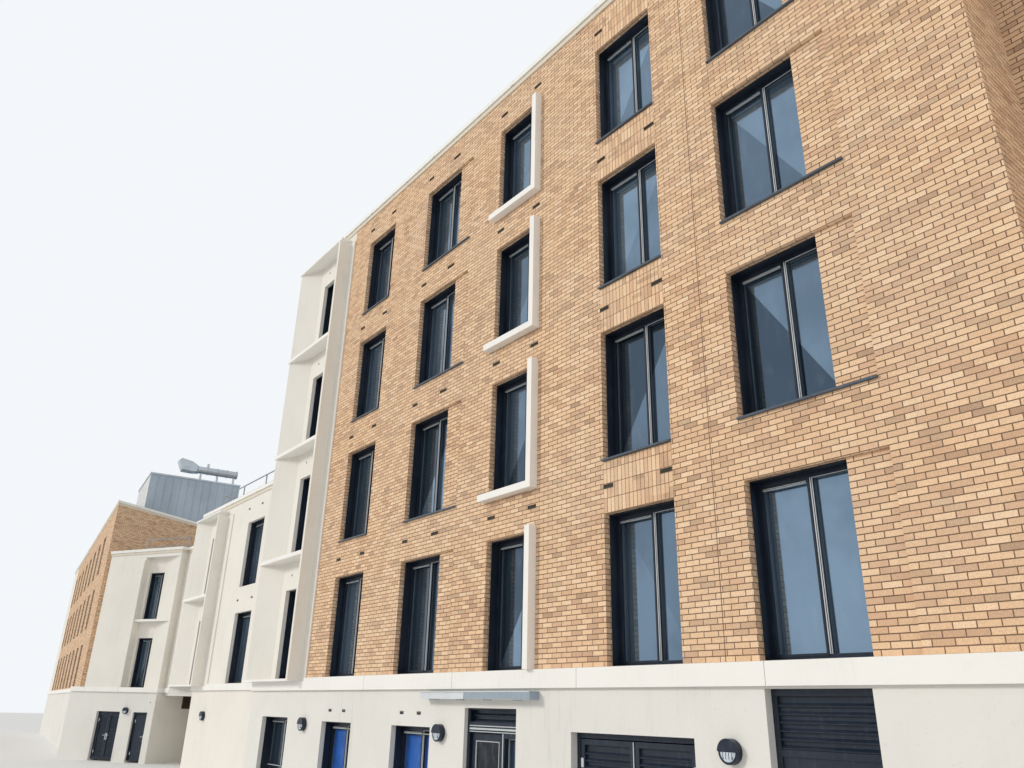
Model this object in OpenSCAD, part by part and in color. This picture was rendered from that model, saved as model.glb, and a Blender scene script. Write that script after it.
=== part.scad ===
// Brick apartment block with a white folded bay tower, a lower white link,
// an angled white wing and a far brick block, as a scale model at 1:2.
// Millimetres of the model, +Z up, street front towards -Y, ground at Z = 0.
// The origin is under the middle of the main brick block.

/* [Storeys] */
// Height of the ground floor
ground_h = 1500; // [1400:10:1700]
// Height of each upper floor
storey_h = 1500; // [1450:10:1650]
// Upper floors of the main block
main_floors = 4; // [3:1:5]
// Upper floors of the link and the angled wing
link_floors = 2; // [1:1:2]
// Upper floors of the far block
far_floors = 3; // [3:1:4]
// How much higher the far block's floors lie
far_lift = 40; // [20:5:60]
// Height of a parapet above the roof deck
parapet_h = 160; // [120:5:220]
// Thickness of the floors and the roof decks
floor_t = 125; // [100:5:150]

/* [Walls] */
// Height of the capping on a parapet
coping_t = 12; // [8:1:20]
// How far the capping reaches down the wall's face
coping_drop = 110; // [80:5:140]
// Height of the capping's upper band
cap_h = 50; // [40:2:60]
// How far the band under it stands out
fascia_out = 14; // [8:1:15]
// How far the capping stands out
coping_out = 30; // [16:2:40]
// Thickness of the ground slabs
slab_t = 40; // [30:2:60]
// Thickness of the outer walls
wall_t = 175; // [160:5:200]
// Depth of the outer brick leaf
leaf_t = 51; // [45:1:56]
// Height of the white string course
band_h = 135; // [116:1:148]
// How far the string course stands out
band_out = 34; // [20:2:50]

/* [Main block] */
// Width of the brick front
main_w = 8015; // [7900:5:8400]
// Depth of the main block
main_d = 6500; // [6000:50:7500]
// From the brick's left edge to the first window
first_window_x = 481; // [430:1:520]
// Spacing of the first four window columns
column_pitch = 1486; // [1450:2:1500]
// From the fourth column to the fifth
last_pitch = 1265; // [1230:5:1290]
// Width of a window opening
window_w = 685; // [640:5:700]
// Height of a window opening
window_h = 1082; // [1040:2:1100]
// Height of a window's foot above its floor
window_foot = 34; // [30:2:50]
// Width of the recessed brick panel beside a window
infill_w = 272; // [240:2:290]
// Depth of that recess
infill_d = 26; // [15:1:35]
// Width of the set-back bay at the right end
setback_w = 1600; // [1200:50:2000]
// How far that bay is set back
setback_d = 550; // [450:10:700]

/* [Windows] */
// Depth of the glass line behind the wall face
frame_y = 128; // [110:2:135]
// Front-to-back depth of a window frame
frame_d = 32; // [24:1:35]
// Face width of the frame bars
frame_bar = 26; // [20:1:34]
// Thickness of the metal lining of a reveal
lining_t = 9; // [8:1:14]
// Thickness of the glass units
glass_t = 12; // [8:1:16]
// Share of the opening's width where the mullion stands
mullion_at = 0.55; // [0.4:0.05:0.65]

/* [White surrounds] */
// How far a surround rises past the window's head
surround_up = 40; // [10:2:60]
// Thickness of the metal sills
sill_t = 14; // [8:1:20]
// How far the sills stand out
sill_out = 24; // [14:1:32]
// Width of a surround's face
surround_w = 62; // [50:2:80]
// How far a surround stands out of the wall
surround_out = 78; // [50:2:100]
// How far its foot runs past the opening
surround_past = 72; // [40:2:100]

/* [Bay tower] */
// How far a ledge stands out past the tower's front
ledge_out = 14; // [8:1:24]
// How far the pier stands out of the brick front
pier_out = 20; // [10:1:30]
// From the tower's left side to its window
bay_window_x = 540; // [500:5:600]
// Width of the tower
tower_w = 1585; // [1500:5:1700]
// How far the tower stands out of the brick front
tower_out = 125; // [90:5:160]
// Depth of the fold at its window side
fold_d = 175; // [140:5:190]
// Width of the tower's raking wall
rake_w = 400; // [350:10:450]
// Thickness of the floor ledges
ledge_t = 50; // [40:2:70]
// How far a ledge laps past its wall
ledge_lap = 40; // [20:2:60]
// Width of the tall fin
fin_w = 50; // [40:5:70]
// How far the fin stands out of the brick front
fin_out = 180; // [165:5:220]
// From the roof deck down to the fin's top
fin_drop = 100; // [80:5:120]
// Width of the flat pier between the fin and the brick
pier_w = 130; // [100:5:160]
// Width of a tower window
bay_window_w = 450; // [400:10:480]

/* [Link] */
// Width of the link's window openings
link_window_w = 720; // [650:5:750]
// Length of the link beside the tower
link_w = 5175; // [5000:25:5300]
// How far the link is set back from the brick front
link_back = 575; // [500:5:650]
// From the tower's side to the link's window column
link_window_x = 2425; // [2350:5:2450]
// Width of the link's own folded bay
link_bay_w = 1388; // [1350:2:1450]
// How far that bay stands out
link_bay_out = 150; // [140:5:160]
// Width of the flat pier beside the link's fin
link_pier_w = 244; // [200:4:280]
// How far the link's fin stands out
link_fin_out = 197; // [190:1:220]
// From the tower's side to the left end of the link's ground floor
link_ground_w = 4295; // [4200:5:4400]
// How far the link's parapet runs past its bay
parapet_past = 80; // [60:5:100]
// Height of the string course on the link and the wing
low_band_h = 100; // [90:2:110]
// Depth of the link
link_d = 4500; // [4200:50:5000]

/* [Angled wing] */
// Width of the wing's windows
wing_window_w = 464; // [430:2:480]
// From the wing's fin to its windows
wing_window_x = 51; // [40:1:56]
// Depth of the recess beside the wing's panel
wing_fold = 150; // [130:5:165]
// How far the wing's fin stands out
wing_fin_out = 40; // [20:2:60]
// Length of the wing's face
wing_w = 2290; // [2240:5:2340]
// Width of the raking wall at its right end
wing_rake_w = 570; // [540:5:580]
// Turn of the wing's face towards the street
wing_turn = 28.5; // [27:0.5:30]
// From the tower's side to the wing's right end
wing_x = 9093; // [9050:1:9150]
// How far the wing's right end is set back
wing_back = 1311; // [1280:1:1340]
// Width of the wing's plain left panel
wing_panel_w = 1135; // [1100:5:1170]
// How far its ground floor runs past it on the left
wing_past = 412; // [380:4:440]
// Length of the return beside the wing's right end
wing_return = 200; // [180:5:240]
// Length of that return on the ground floor
ground_return = 1240; // [1100:10:1400]
// From the far block's corner back to the wall behind the wing
filler_back = 200; // [150:10:250]
// From the wing's left end to its louvred double door
wing_leaves_x = 563; // [540:1:580]
// Width of that door's opening
wing_leaves_w = 721; // [700:1:740]
// From the wall behind the wing's right end to its single door
wing_door_side = 5; // [5:1:20]
// Width of that door's opening
wing_door_w = 424; // [416:2:430]

/* [Far block] */
// Window columns of the far block
far_columns = 8; // [6:1:8]
// Spacing of those columns
far_pitch = 1500; // [1450:5:1540]
// From the far block's near corner to the first of them
far_window_x = 1930; // [1880:5:1980]
// Width of the white end beyond them
far_end_w = 2100; // [1900:10:2150]
// Height of the far block's parapet
far_parapet_h = 250; // [220:5:280]
// Window columns of the main block's back
back_columns = 6; // [5:1:7]
// Width of the plant room
plant_w = 2800; // [2500:50:3000]
// Depth of the plant room
plant_d = 2740; // [2400:20:2740]
// Thickness of the plant room's walls and roof
plant_t = 60; // [40:5:80]
// Height of the plant room
plant_h = 1910; // [1600:10:2100]
// From the far block's near corner to the plant room
plant_x = 2970; // [2900:10:3100]
// From the far block's front to the plant room
plant_y = 940; // [900:10:1100]
// Length of the far block's front
far_w = 15400; // [15300:50:15600]
// Depth of the far block
far_d = 5500; // [5000:50:6000]
// Turn of the far block's front away from the street
far_turn = 7; // [6:0.5:8]
// From the tower's side to the far block's near corner
far_x = 12717; // [12650:1:12760]
// How far that corner is set back
far_back = 432; // [410:1:450]

/* [Entrance] */
// From the brick's left edge to the entrance opening
entrance_x = 3220; // [3150:5:3300]
// Width of the door frame's jambs
jamb = 35; // [28:1:40]
// Face of a door leaf behind the wall face
leaf_front = 60; // [50:1:80]
// Front-to-back depth of a door frame
frame_depth = 50; // [40:1:60]
// Height of a hinge knuckle
knuckle_h = 60; // [40:5:80]
// From the brick's left edge to the canopy
canopy_x = 2640; // [2560:10:2700]
// From the first floor down to the canopy's underside
canopy_drop = 184; // [180:2:200]
// Width of the canopy
canopy_w = 1550; // [1500:10:1600]
// How far the canopy stands out
canopy_out = 90; // [70:5:120]
// Thickness of the canopy
canopy_t = 60; // [50:2:60]
// From the brick's left edge to the plant doors
plant_door_x = 4555; // [4500:5:4650]
// Width of the plant door opening
plant_door_w = 1125; // [1050:5:1150]
// From the first floor down to the plant doors' head
door_drop = 395; // [380:5:420]
// From the brick's left edge to the tall louvre
louvre_x = 6215; // [6150:5:6300]
// Width of the tall louvre
louvre_w = 655; // [600:5:700]
// Height of the blades in the tall louvre, with the bar over them
louvre_h = 315; // [290:5:330]
// From the first floor down to the tall louvre's head
louvre_drop = 115; // [105:5:160]
// Width of the entrance opening
entrance_w = 700; // [660:10:760]
// From the first floor down to the entrance's head
entrance_drop = 250; // [220:10:280]
// Height of the louvred panel over the entrance door, with its rail
overpanel_h = 185; // [170:5:200]
// Height of the solid rail under it
transom_h = 80; // [70:2:90]
// Width of the door leaf
leaf_w = 430; // [400:5:440]
// Thickness of the door leaf
door_t = 26; // [22:1:32]
// Width of a louvred leaf's bars
leaf_bar = 36; // [30:1:42]
// Spacing of the louvre blades
blade_pitch = 44; // [40:1:48]
// Gap round a door leaf
door_gap = 7; // [6:1:8]

/* [Ground floor] */
// From the brick's left edge to its first ground floor window
ground_window_x = 515; // [480:5:550]
// Spacing of the two ground floor windows
ground_pitch = 1500; // [1450:5:1550]
// From the first floor down to a ground floor window's head
window_drop = 415; // [400:5:440]
// Width of a ground floor window
ground_window_w = 675; // [640:5:700]
// Height of a ground floor window
ground_window_h = 660; // [620:5:680]
// From the tower's left side to the opening under it
under_tower_x = 425; // [380:5:460]
// Width of the opening under the tower
under_tower_w = 760; // [720:5:800]
// From the first floor down to the heads of the wing's doors
wing_door_drop = 480; // [460:5:500]
// Height of the middle of the round wall lights
light_z = 1045; // [1000:5:1060]
// Radius of the wall lights
light_r = 70; // [55:1:75]
// Depth of the wall lights
light_d = 45; // [35:1:60]

/* [Roofs] */
// Height of the guard rails above the roof
rail_h = 550; // [500:10:600]
// Radius of the rails and their posts
rail_r = 12; // [9:1:15]
// Spacing of the posts
post_pitch = 1400; // [1200:50:1600]
// From the parapet's inner face to the link's rail
rail_in = 60; // [50:5:100]
// Radius of the duct on the plant room
duct_r = 118; // [100:2:130]
// Height of the duct's feet
duct_up = 220; // [160:10:260]
// From the plant room's front to the duct's hood
duct_start = 1320; // [1250:10:1400]
// Width of the duct's hood
hood_w = 380; // [320:10:440]
// Width of the duct's feet
foot_w = 60; // [40:5:80]

/* [Hidden] */
eps = 1;

brick = [0.72, 0.55, 0.40];
white = [0.93, 0.92, 0.88];
navy = [0.10, 0.13, 0.20];
pane = [0.45, 0.60, 0.75];
grey = [0.62, 0.64, 0.66];

// Clearance between pieces that are set at an angle to each other
seat = 0.3;
// Middles of the wall lights on the main front, the link and the wing
main_light_x = [67, 2868, 5960];
link_light_x = -5106;
wing_light_x = 1468;
// Where the wing's roof rail starts and how far it stands behind the face
wing_rail_x = 450;
wing_rail_y = 600;
main_top = ground_h + main_floors * storey_h;
low_top = ground_h + link_floors * storey_h;
far_ground_h = ground_h + far_lift;
far_top = far_ground_h + far_floors * storey_h;
link_x = -tower_w - link_w;
low_back_y = link_back + link_d;
wing_end = [-tower_w - wing_x, wing_back];
far_corner = [-tower_w - far_x, far_back];
main_end = main_w + setback_w;
columns = [for (i = [0:3]) first_window_x + i * column_pitch,
    first_window_x + 3 * column_pitch + last_pitch];
infill_columns = [columns[1], columns[4]];
fold_y = fold_d - tower_out;
fin_left = -pier_w - fin_w;
link_fold_y = link_back - link_bay_out + fold_d;
link_fin_x = link_x + link_bay_w;
link_ground_x = -tower_w - link_ground_w;
wing_fin_x = wing_panel_w + fin_w;
rake_step = wall_t * fold_d / rake_w + seat;

function floor_z(i) = ground_h + i * storey_h;
function turned(p, a) = [p[0] * cos(a) - p[1] * sin(a), p[0] * sin(a) + p[1] * cos(a)];
function wing_pt(x, y) = turned([x - wing_w, y], wing_turn) + wing_end;
function backwards(points) = [for (i = [len(points) - 1:-1:0]) points[i]];
function edge_normal(a, b) = [b[1] - a[1], a[0] - b[0]] / norm(b - a);
function mitre(a, b, c, d) = let (m = edge_normal(a, b), n = edge_normal(b, c))
    b + d * (m + n) / (1 + m * n);
// A closed line moved outwards by d
function grown(p, d) = [for (i = [0:len(p) - 1])
    mitre(p[(i + len(p) - 1) % len(p)], p[i], p[(i + 1) % len(p)], d)];
// An open line moved outwards by d
function shifted(p, d) = let (e = len(p) - 1) [for (i = [0:e])
    i == 0 ? p[0] + d * edge_normal(p[0], p[1])
    : i == e ? p[e] + d * edge_normal(p[e - 1], p[e])
    : mitre(p[i - 1], p[i], p[i + 1], d)];
// The plan of a band along an open line
function along(p, out, in) = concat(shifted(p, out), backwards(shifted(p, -in)));
// The plan of a wall between two corners of an outer line and its inner line
function wall_plan(outer, inner, i, j) =
    concat([for (k = [i:j]) outer[k]], [for (k = [j:-1:i]) inner[k]]);
// The lowest ledge sits on the ground floor, the top one ends at the roof deck
function ledge_foot(i) = i == 0 ? ground_h : floor_z(i) - ledge_t / 2;
function ledge_head(i, floors) = i == floors ? floor_z(i) : floor_z(i) + ledge_t / 2;
// Window boxes of one column as [x, z, width, height]
function column_holes(x, w, floors, lift = 0) =
    [for (i = [0:floors - 1]) [x, floor_z(i) + lift + window_foot, w, window_h]];
function flat(lists) = [for (l = lists) for (v = l) v];

tower_line = [[-tower_w, -tower_out], [-tower_w + rake_w, fold_y], [fin_left, fold_y]];
main_outline = [[-tower_w, 0], [main_w, 0], [main_w, setback_d], [main_end, setback_d],
    [main_end, main_d], [-tower_w, main_d]];
main_room = grown(main_outline, -wall_t);
upper_room = concat([[-tower_w + wall_t, wall_t - tower_out + rake_step]],
    [[-tower_w + rake_w, fold_y + wall_t], [fin_left, fold_y + wall_t], [fin_left, wall_t]],
    [for (i = [1:5]) main_room[i]]);

// The wing's far end and the wall behind it, seen in the wing's own frame
far_in_wing = turned(far_corner - wing_end, -wing_turn) + [wing_w, 0];
far_x_in_wing = far_in_wing[0] + seat;
filler_y = far_in_wing[1] + filler_back;
far_wall_start = wing_pt(far_x_in_wing, 0);
// X at which the low roofs meet the far block, for a given y
function far_line_x(y) = far_wall_start[0] - (y - far_wall_start[1]) * tan(wing_turn);
inner_back = low_back_y - wall_t;
wing_corner = wing_pt(wing_w, 0);
upper_return = wing_pt(wing_w, wing_return);
lower_return = wing_pt(wing_w, ground_return);
// Outer lines of the low walls, from the far block along the street to the tower
low_line = [wing_pt(far_x_in_wing, filler_y), wing_pt(0, filler_y), wing_pt(0, 0),
    wing_pt(wing_fin_x, 0), wing_pt(wing_fin_x, wing_fold), wing_pt(wing_w - wing_rake_w, wing_fold),
    wing_corner, upper_return, [link_x, upper_return[1]], [link_x, link_back - link_bay_out],
    [link_x + rake_w, link_fold_y], [link_fin_x - fin_w, link_fold_y]];
low_ground_line = [low_line[0], wing_pt(-wing_past, filler_y), wing_pt(-wing_past, 0), wing_corner,
    lower_return, [link_ground_x, lower_return[1]], [link_ground_x, link_back], [-tower_w, link_back]];
low_parapet_line = [low_line[0], low_line[1], low_line[2], wing_corner, upper_return,
    [link_x - parapet_past, upper_return[1]], [link_x - parapet_past, link_back], [-tower_w, link_back]];
low_inner = shifted(low_line, -wall_t);
low_ground_inner = shifted(low_ground_line, -wall_t);
back_room = [[-tower_w, inner_back], [far_line_x(inner_back), inner_back]];
low_ground_room = concat(low_ground_inner, back_room);
low_room = concat(low_inner, [[link_fin_x - fin_w, link_back + wall_t],
    [-tower_w, link_back + wall_t]], back_room);
soffit_plan = [low_line[9], low_line[10], [link_ground_x, link_fold_y], low_ground_line[5],
    wing_pt(wing_w + seat, ground_return - seat), wing_pt(wing_w + seat, wing_return), low_line[8]];

// The far block's side runs parallel to the wing's ends
far_lean = tan(wing_turn + far_turn);
far_outline = [[0, 0], [far_w, 0], [far_w - far_d * far_lean, far_d], [0, far_d]];
far_room = grown(far_outline, -wall_t);

main_holes = flat([for (x = columns) column_holes(x, window_w, main_floors)]);
tower_holes = column_holes(-tower_w + bay_window_x, bay_window_w, main_floors);
link_holes = column_holes(link_x + link_window_x, link_window_w, link_floors);
link_bay_holes = column_holes(link_x + bay_window_x, bay_window_w, link_floors);
wing_holes = column_holes(wing_fin_x + wing_window_x, wing_window_w, link_floors);
far_holes = flat([for (i = [0:far_columns - 1])
    column_holes(far_w - far_window_x - i * far_pitch - window_w, window_w, far_floors, far_lift)]);
back_pitch = (main_end + tower_w) / back_columns;
back_holes = flat([for (i = [0:back_columns - 1])
    column_holes((i + 0.5) * back_pitch - window_w / 2, window_w, main_floors)]);

door_head = ground_h - door_drop;
louvre_head = ground_h - louvre_drop;
louvre_foot = louvre_head - louvre_h;
panel_in = 8;
head_bar = 12;
entrance_head = ground_h - entrance_drop;
wing_door_head = ground_h - wing_door_drop;
under_tower_holes = [[under_tower_x - tower_w, slab_t, under_tower_w, door_head - slab_t]];
ground_holes = [for (i = [0:1]) [ground_window_x + i * ground_pitch,
    ground_h - window_drop - ground_window_h, ground_window_w, ground_window_h]];
plant_hole = [plant_door_x, slab_t, plant_door_w, door_head - slab_t];
louvre_hole = [louvre_x, slab_t, louvre_w, louvre_head - slab_t];
wing_leaves_hole = [wing_leaves_x, slab_t, wing_leaves_w, wing_door_head - slab_t];
wing_door_x = wing_w - wall_t - wing_door_side - wing_door_w;
wing_door_hole = [wing_door_x, slab_t, wing_door_w, wing_door_head - slab_t];

leaf_z = slab_t + door_gap;
leaf_back = leaf_front + door_t;
leaf_head = entrance_head - overpanel_h;
leaf_h = leaf_head - door_gap - leaf_z;
light_x = 2 * jamb + leaf_w + 2 * door_gap;
knuckle_gap = 0.3;
knuckle_r = door_gap / 2 - knuckle_gap;
sheet_t = 6;
light_rim = 10;
leaf_stile = 55;
blade_t = 5;
blade_rise = 15;
blade_in = 3;
string_top = ground_h + window_foot;

module at_main() {
    translate([-main_w / 2, -main_d / 2, 0]) children();
}
// From the main frame into the wing's own frame
module on_wing() {
    translate([wing_end[0], wing_end[1], 0]) rotate([0, 0, wing_turn])
        translate([-wing_w, 0, 0]) children();
}
module at_wing() {
    at_main() on_wing() children();
}
module at_far() {
    at_main() translate([far_corner[0], far_corner[1], 0])
        rotate([0, 0, -far_turn]) translate([-far_w, 0, 0]) children();
}
// The main block's back wall seen from outside, x to the right
module at_back() {
    at_main() translate([main_end, main_d, 0]) rotate([0, 0, 180]) children();
}
module plate(points, z0, z1) {
    translate([0, 0, z0]) linear_extrude(z1 - z0) polygon(points);
}
module box(x0, x1, y0, y1, z0, z1) {
    translate([x0, y0, z0]) cube([x1 - x0, y1 - y0, z1 - z0]);
}
// A band round a closed line, reaching out and in from it
module ring(line, out, in, z0, z1) {
    difference() {
        plate(grown(line, out), z0, z1);
        plate(grown(line, -in), z0 - eps, z1 + eps);
    }
}
// Boxes through a wall whose outer face is at y
module cut(holes, y = 0, depth = wall_t) {
    for (h = holes) box(h[0], h[0] + h[2], y - eps, y + depth + eps, h[1], h[1] + h[3]);
}
// The same boxes cut down through the foot of the wall
module cut_door(h) {
    box(h[0], h[0] + h[2], -eps, wall_t + eps, -eps, ground_h + eps);
}
module lintel(h, inset = 0) {
    box(h[0], h[0] + h[2], inset, wall_t - inset, h[1] + h[3], ground_h);
}
// One window: a metal reveal lining with a frame and a mullion in it
module window_unit(h, y = 0, front = leaf_t) {
    w = h[2];
    foot = lining_t + frame_bar;
    mull = w * mullion_at;
    translate([h[0], y, h[1]]) difference() {
        box(0, w, front, frame_y + frame_d, 0, h[3]);
        box(lining_t, w - lining_t, front - eps, frame_y, lining_t, h[3] - lining_t);
        box(foot, mull - frame_bar / 2, front, frame_y + frame_d + eps, foot, h[3] - foot);
        box(mull + frame_bar / 2, w - foot, front, frame_y + frame_d + eps, foot, h[3] - foot);
    }
}
module glass_unit(h, y = 0) {
    back = y + frame_y + frame_d;
    box(h[0] + lining_t, h[0] + h[2] - lining_t, back, back + glass_t,
        h[1] + lining_t, h[1] + h[3] - lining_t);
}
module window_set(holes, y = 0) {
    for (h = holes) window_unit(h, y);
}
module glass_set(holes, y = 0) {
    for (h = holes) glass_unit(h, y);
}
// Slanted blades that fill an opening, in one piece with a thin sheet behind them
module blades(x0, x1, z0, z1, t) {
    back = t - sheet_t;
    count = floor((z1 - z0 - blade_rise - blade_t - 2 * blade_in) / blade_pitch);
    edge = flat([for (k = [0:count]) let (z = z0 + blade_in + k * blade_pitch)
        [[back, z + blade_rise], [blade_in, z], [blade_in, z + blade_t], [back, z + blade_rise + blade_t]]]);
    translate([x0 - eps, 0, 0]) rotate([90, 0, 90]) linear_extrude(x1 - x0 + 2 * eps)
        polygon(concat([[t, z1 + eps], [t, z0 - eps], [back, z0 - eps]], edge, [[back, z1 + eps]]));
}
// A louvred panel with its own bars, its front at y = 0
module louvred(w, h, bar = leaf_bar, t = door_t) {
    difference() {
        cube([w, t, h]);
        box(bar, w - bar, -eps, t + eps, bar, h - bar);
    }
    blades(bar, w - bar, bar, h - bar, t);
}
// Hinge knuckles on a leaf's edge at x = 0, with their axis in the gap beside it
module knuckles(height, side) {
    for (k = [0.15, 0.85]) translate([-side * door_gap / 2, 0, height * k - knuckle_h / 2]) {
        cylinder(r = knuckle_r, h = knuckle_h, $fn = 16);
        translate([side > 0 ? 0 : -door_gap, -1, 0]) cube([door_gap, 2, knuckle_h]);
    }
}
// A louvred leaf of a double door that opens outwards
module double_leaf(hole, side) {
    w = (hole[2] - 2 * jamb - 3 * door_gap) / 2;
    h = hole[3] - jamb - 2 * door_gap;
    x = side > 0 ? jamb + door_gap : jamb + 2 * door_gap + w;
    translate([hole[0] + x, leaf_front, leaf_z]) {
        louvred(w, h);
        translate([side > 0 ? 0 : w, 0, 0]) knuckles(h, side);
    }
}
// The frame of a door: two jambs and a head
module door_frame(hole, front) {
    translate([hole[0], 0, 0]) difference() {
        box(0, hole[2], front, front + frame_depth, slab_t, hole[1] + hole[3]);
        box(jamb, hole[2] - jamb, front - eps, front + frame_depth + eps,
            slab_t - eps, hole[1] + hole[3] - jamb);
    }
}
// A capping in two tiers round a closed line
module coping_ring(line, z1) {
    ring(line, coping_out, wall_t + coping_out, z1, z1 + coping_t);
    ring(line, coping_out, 0, z1 - cap_h, z1);
    ring(line, fascia_out, 0, z1 - coping_drop, z1 - cap_h);
}
// The same along an open line
module coping_run(line, z1) {
    plate(along(line, coping_out, wall_t + coping_out), z1, z1 + coping_t);
    plate(along(line, coping_out, 0), z1 - cap_h, z1);
    plate(along(line, fascia_out, 0), z1 - coping_drop, z1 - cap_h);
}
// A rail on posts along an open line on a roof at z
module rail(points, z) {
    for (i = [0:len(points) - 2]) {
        a = points[i];
        v = points[i + 1] - a;
        n = ceil(norm(v) / post_pitch);
        for (k = [0:n]) translate([a[0] + v[0] * k / n, a[1] + v[1] * k / n, z])
            cylinder(r = rail_r, h = rail_h, $fn = 6);
        translate([a[0], a[1], z + rail_h - rail_r]) rotate([0, 0, atan2(v[1], v[0])])
            rotate([0, 90, 0]) cylinder(r = rail_r, h = norm(v), $fn = 6);
    }
}
// A round wall light whose upper half stands out as a hood, on a wall whose face is at y
module wall_light(x, y) {
    translate([x, y, light_z]) rotate([90, 0, 0]) {
        cylinder(r = light_r - light_rim, h = light_d, $fn = 16);
        difference() {
            cylinder(r = light_r, h = light_d + light_rim, $fn = 16);
            translate([0, 0, -eps]) cylinder(r = light_r - light_rim - eps, h = light_d, $fn = 16);
            box(-2 * light_r, 2 * light_r, -2 * light_r, 0, light_d - eps, 2 * light_d);
        }
    }
}

module ground_slabs() {
    color(grey) at_main() {
        plate(main_room, 0, slab_t);
        plate(low_ground_room, 0, slab_t);
    }
    color(grey) at_far() plate(far_room, 0, slab_t);
}
module main_front() {
    color(brick) at_main() difference() {
        box(0, main_w, 0, wall_t, ground_h, main_top + parapet_h);
        cut(main_holes);
        for (x = infill_columns) for (i = [0:main_floors - 1])
            box(x + window_w - eps, x + window_w + infill_w, -eps, infill_d,
                floor_z(i) + window_foot, floor_z(i) + window_foot + window_h);
    }
}
right_plan = [[main_w, wall_t], [main_w, setback_d], [main_end, setback_d],
    [main_end, main_d - wall_t], [main_end - wall_t, main_d - wall_t],
    [main_end - wall_t, setback_d + wall_t], [main_w - wall_t, setback_d + wall_t],
    [main_w - wall_t, wall_t]];
module main_right_side() {
    color(brick) at_main() plate(right_plan, ground_h, main_top + parapet_h);
}
module main_back() {
    color(brick) at_back() difference() {
        box(0, main_end + tower_w, 0, wall_t, ground_h, main_top + parapet_h);
        cut(back_holes);
    }
}
module main_floors() {
    color(grey) at_main() {
        plate(main_room, floor_z(0) - floor_t, floor_z(0));
        for (i = [1:main_floors]) plate(upper_room, floor_z(i) - floor_t, floor_z(i));
    }
}
module main_coping() {
    color(white) at_main() coping_ring(main_outline, main_top + parapet_h);
}
module string_course() {
    color(white) at_main() {
        plate([[0, 0], [0, -band_out], [main_w + band_out, -band_out],
            [main_w + band_out, setback_d], [main_w, setback_d], [main_w, 0]],
            string_top - band_h, string_top);
        box(-tower_w, 0, -band_out, 0, string_top - band_h, ground_h);
        box(link_fin_x + link_pier_w, -tower_w, link_back - band_out, link_back,
            string_top - low_band_h, string_top);
        box(link_ground_x, link_fin_x + link_pier_w, link_back - band_out, link_back,
            string_top - low_band_h, ground_h);
        plate(along([low_ground_line[2], wing_corner, upper_return, low_line[8]], band_out, -seat),
            string_top - low_band_h, string_top);
    }
    color(white) at_far() box(0, far_w, -band_out, 0, string_top - low_band_h, string_top);
}
module ground_front_left() {
    color(white) at_main() difference() {
        box(-tower_w, entrance_x, 0, wall_t, 0, ground_h);
        cut(concat(under_tower_holes, ground_holes));
    }
}
module ground_front_right() {
    color(white) at_main() difference() {
        box(entrance_x + entrance_w, main_w, 0, wall_t, 0, ground_h);
        cut_door(plant_hole);
        cut_door(louvre_hole);
    }
}
module door_lintels() {
    color(white) at_main() {
        lintel([entrance_x, slab_t, entrance_w, entrance_head - slab_t]);
        lintel(plant_hole);
        lintel(louvre_hole);
        on_wing() lintel(wing_leaves_hole, seat);
        on_wing() lintel(wing_door_hole, seat);
    }
}
module ground_sides() {
    color(white) at_main() {
        plate(right_plan, 0, ground_h);
        box(-tower_w, main_end, main_d - wall_t, main_d, 0, ground_h);
        box(-tower_w, -tower_w + wall_t, wall_t, main_d - wall_t, 0, ground_h);
    }
}
module main_windows() {
    color(navy) at_main() window_set(main_holes);
}
module main_glass() {
    color(pane) at_main() {
        glass_set(main_holes);
        glass_set(ground_holes);
        glass_set(under_tower_holes);
        glass_set(tower_holes, fold_y);
        box(entrance_x + light_x - lining_t, entrance_x + entrance_w - lining_t, leaf_back,
            leaf_back + glass_t, slab_t + lining_t, leaf_head - lining_t);
    }
}
module window_surrounds() {
    x0 = columns[2];
    x1 = x0 + window_w;
    color(white) at_main() for (i = [0:main_floors - 1]) {
        z0 = floor_z(i) + window_foot;
        z1 = z0 + window_h;
        foot = i == 0 ? 0 : surround_w;
        box(x1 - surround_w, x1, -surround_out, 0, z0 - foot, z1 + surround_up);
        if (i > 0)
            box(x0 - surround_past, x1 - surround_w, -surround_out, 0, z0 - foot, z0);
    }
}
module window_sills() {
    color(grey) at_main() for (c = [0, 1, 3, 4]) for (i = [1:main_floors - 1]) {
        w = window_w + (c == 1 || c == 4 ? infill_w : 0);
        box(columns[c], columns[c] + w, -sill_out, 0, floor_z(i) + window_foot - sill_t,
            floor_z(i) + window_foot);
    }
}
module tower_front() {
    color(white) at_main() {
        difference() {
            plate([tower_line[0], tower_line[1], tower_line[2], [fin_left, fold_y + wall_t],
                [-tower_w + rake_w, fold_y + wall_t], [-tower_w, wall_t - tower_out]],
                ground_h, main_top);
            cut(tower_holes, fold_y);
        }
        box(-tower_w, 0, 0, wall_t, main_top, main_top + parapet_h);
    }
}
module tower_fin() {
    color(white) at_main() {
        plate([[fin_left, -fin_out], [-pier_w, -fin_out], [-pier_w, -pier_out],
            [0, -pier_out], [0, wall_t], [fin_left, wall_t]], ground_h, main_top - fin_drop);
        box(fin_left, 0, 0, wall_t, main_top - fin_drop, main_top);
    }
}
module tower_ledges() {
    color(white) at_main() for (i = [0:main_floors])
        plate([[-tower_w - ledge_lap, -tower_out - ledge_out], [fin_left, -tower_out - ledge_out],
            [fin_left, fold_y], [-tower_w + rake_w, fold_y], [-tower_w, -tower_out],
            [-tower_w - ledge_lap, -tower_out]], ledge_foot(i), ledge_head(i, main_floors));
}
side_plan = [[-tower_w, wall_t - tower_out + seat], [-tower_w + wall_t, wall_t - tower_out + rake_step],
    [-tower_w + wall_t, main_d - wall_t], [-tower_w, main_d - wall_t]];
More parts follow.
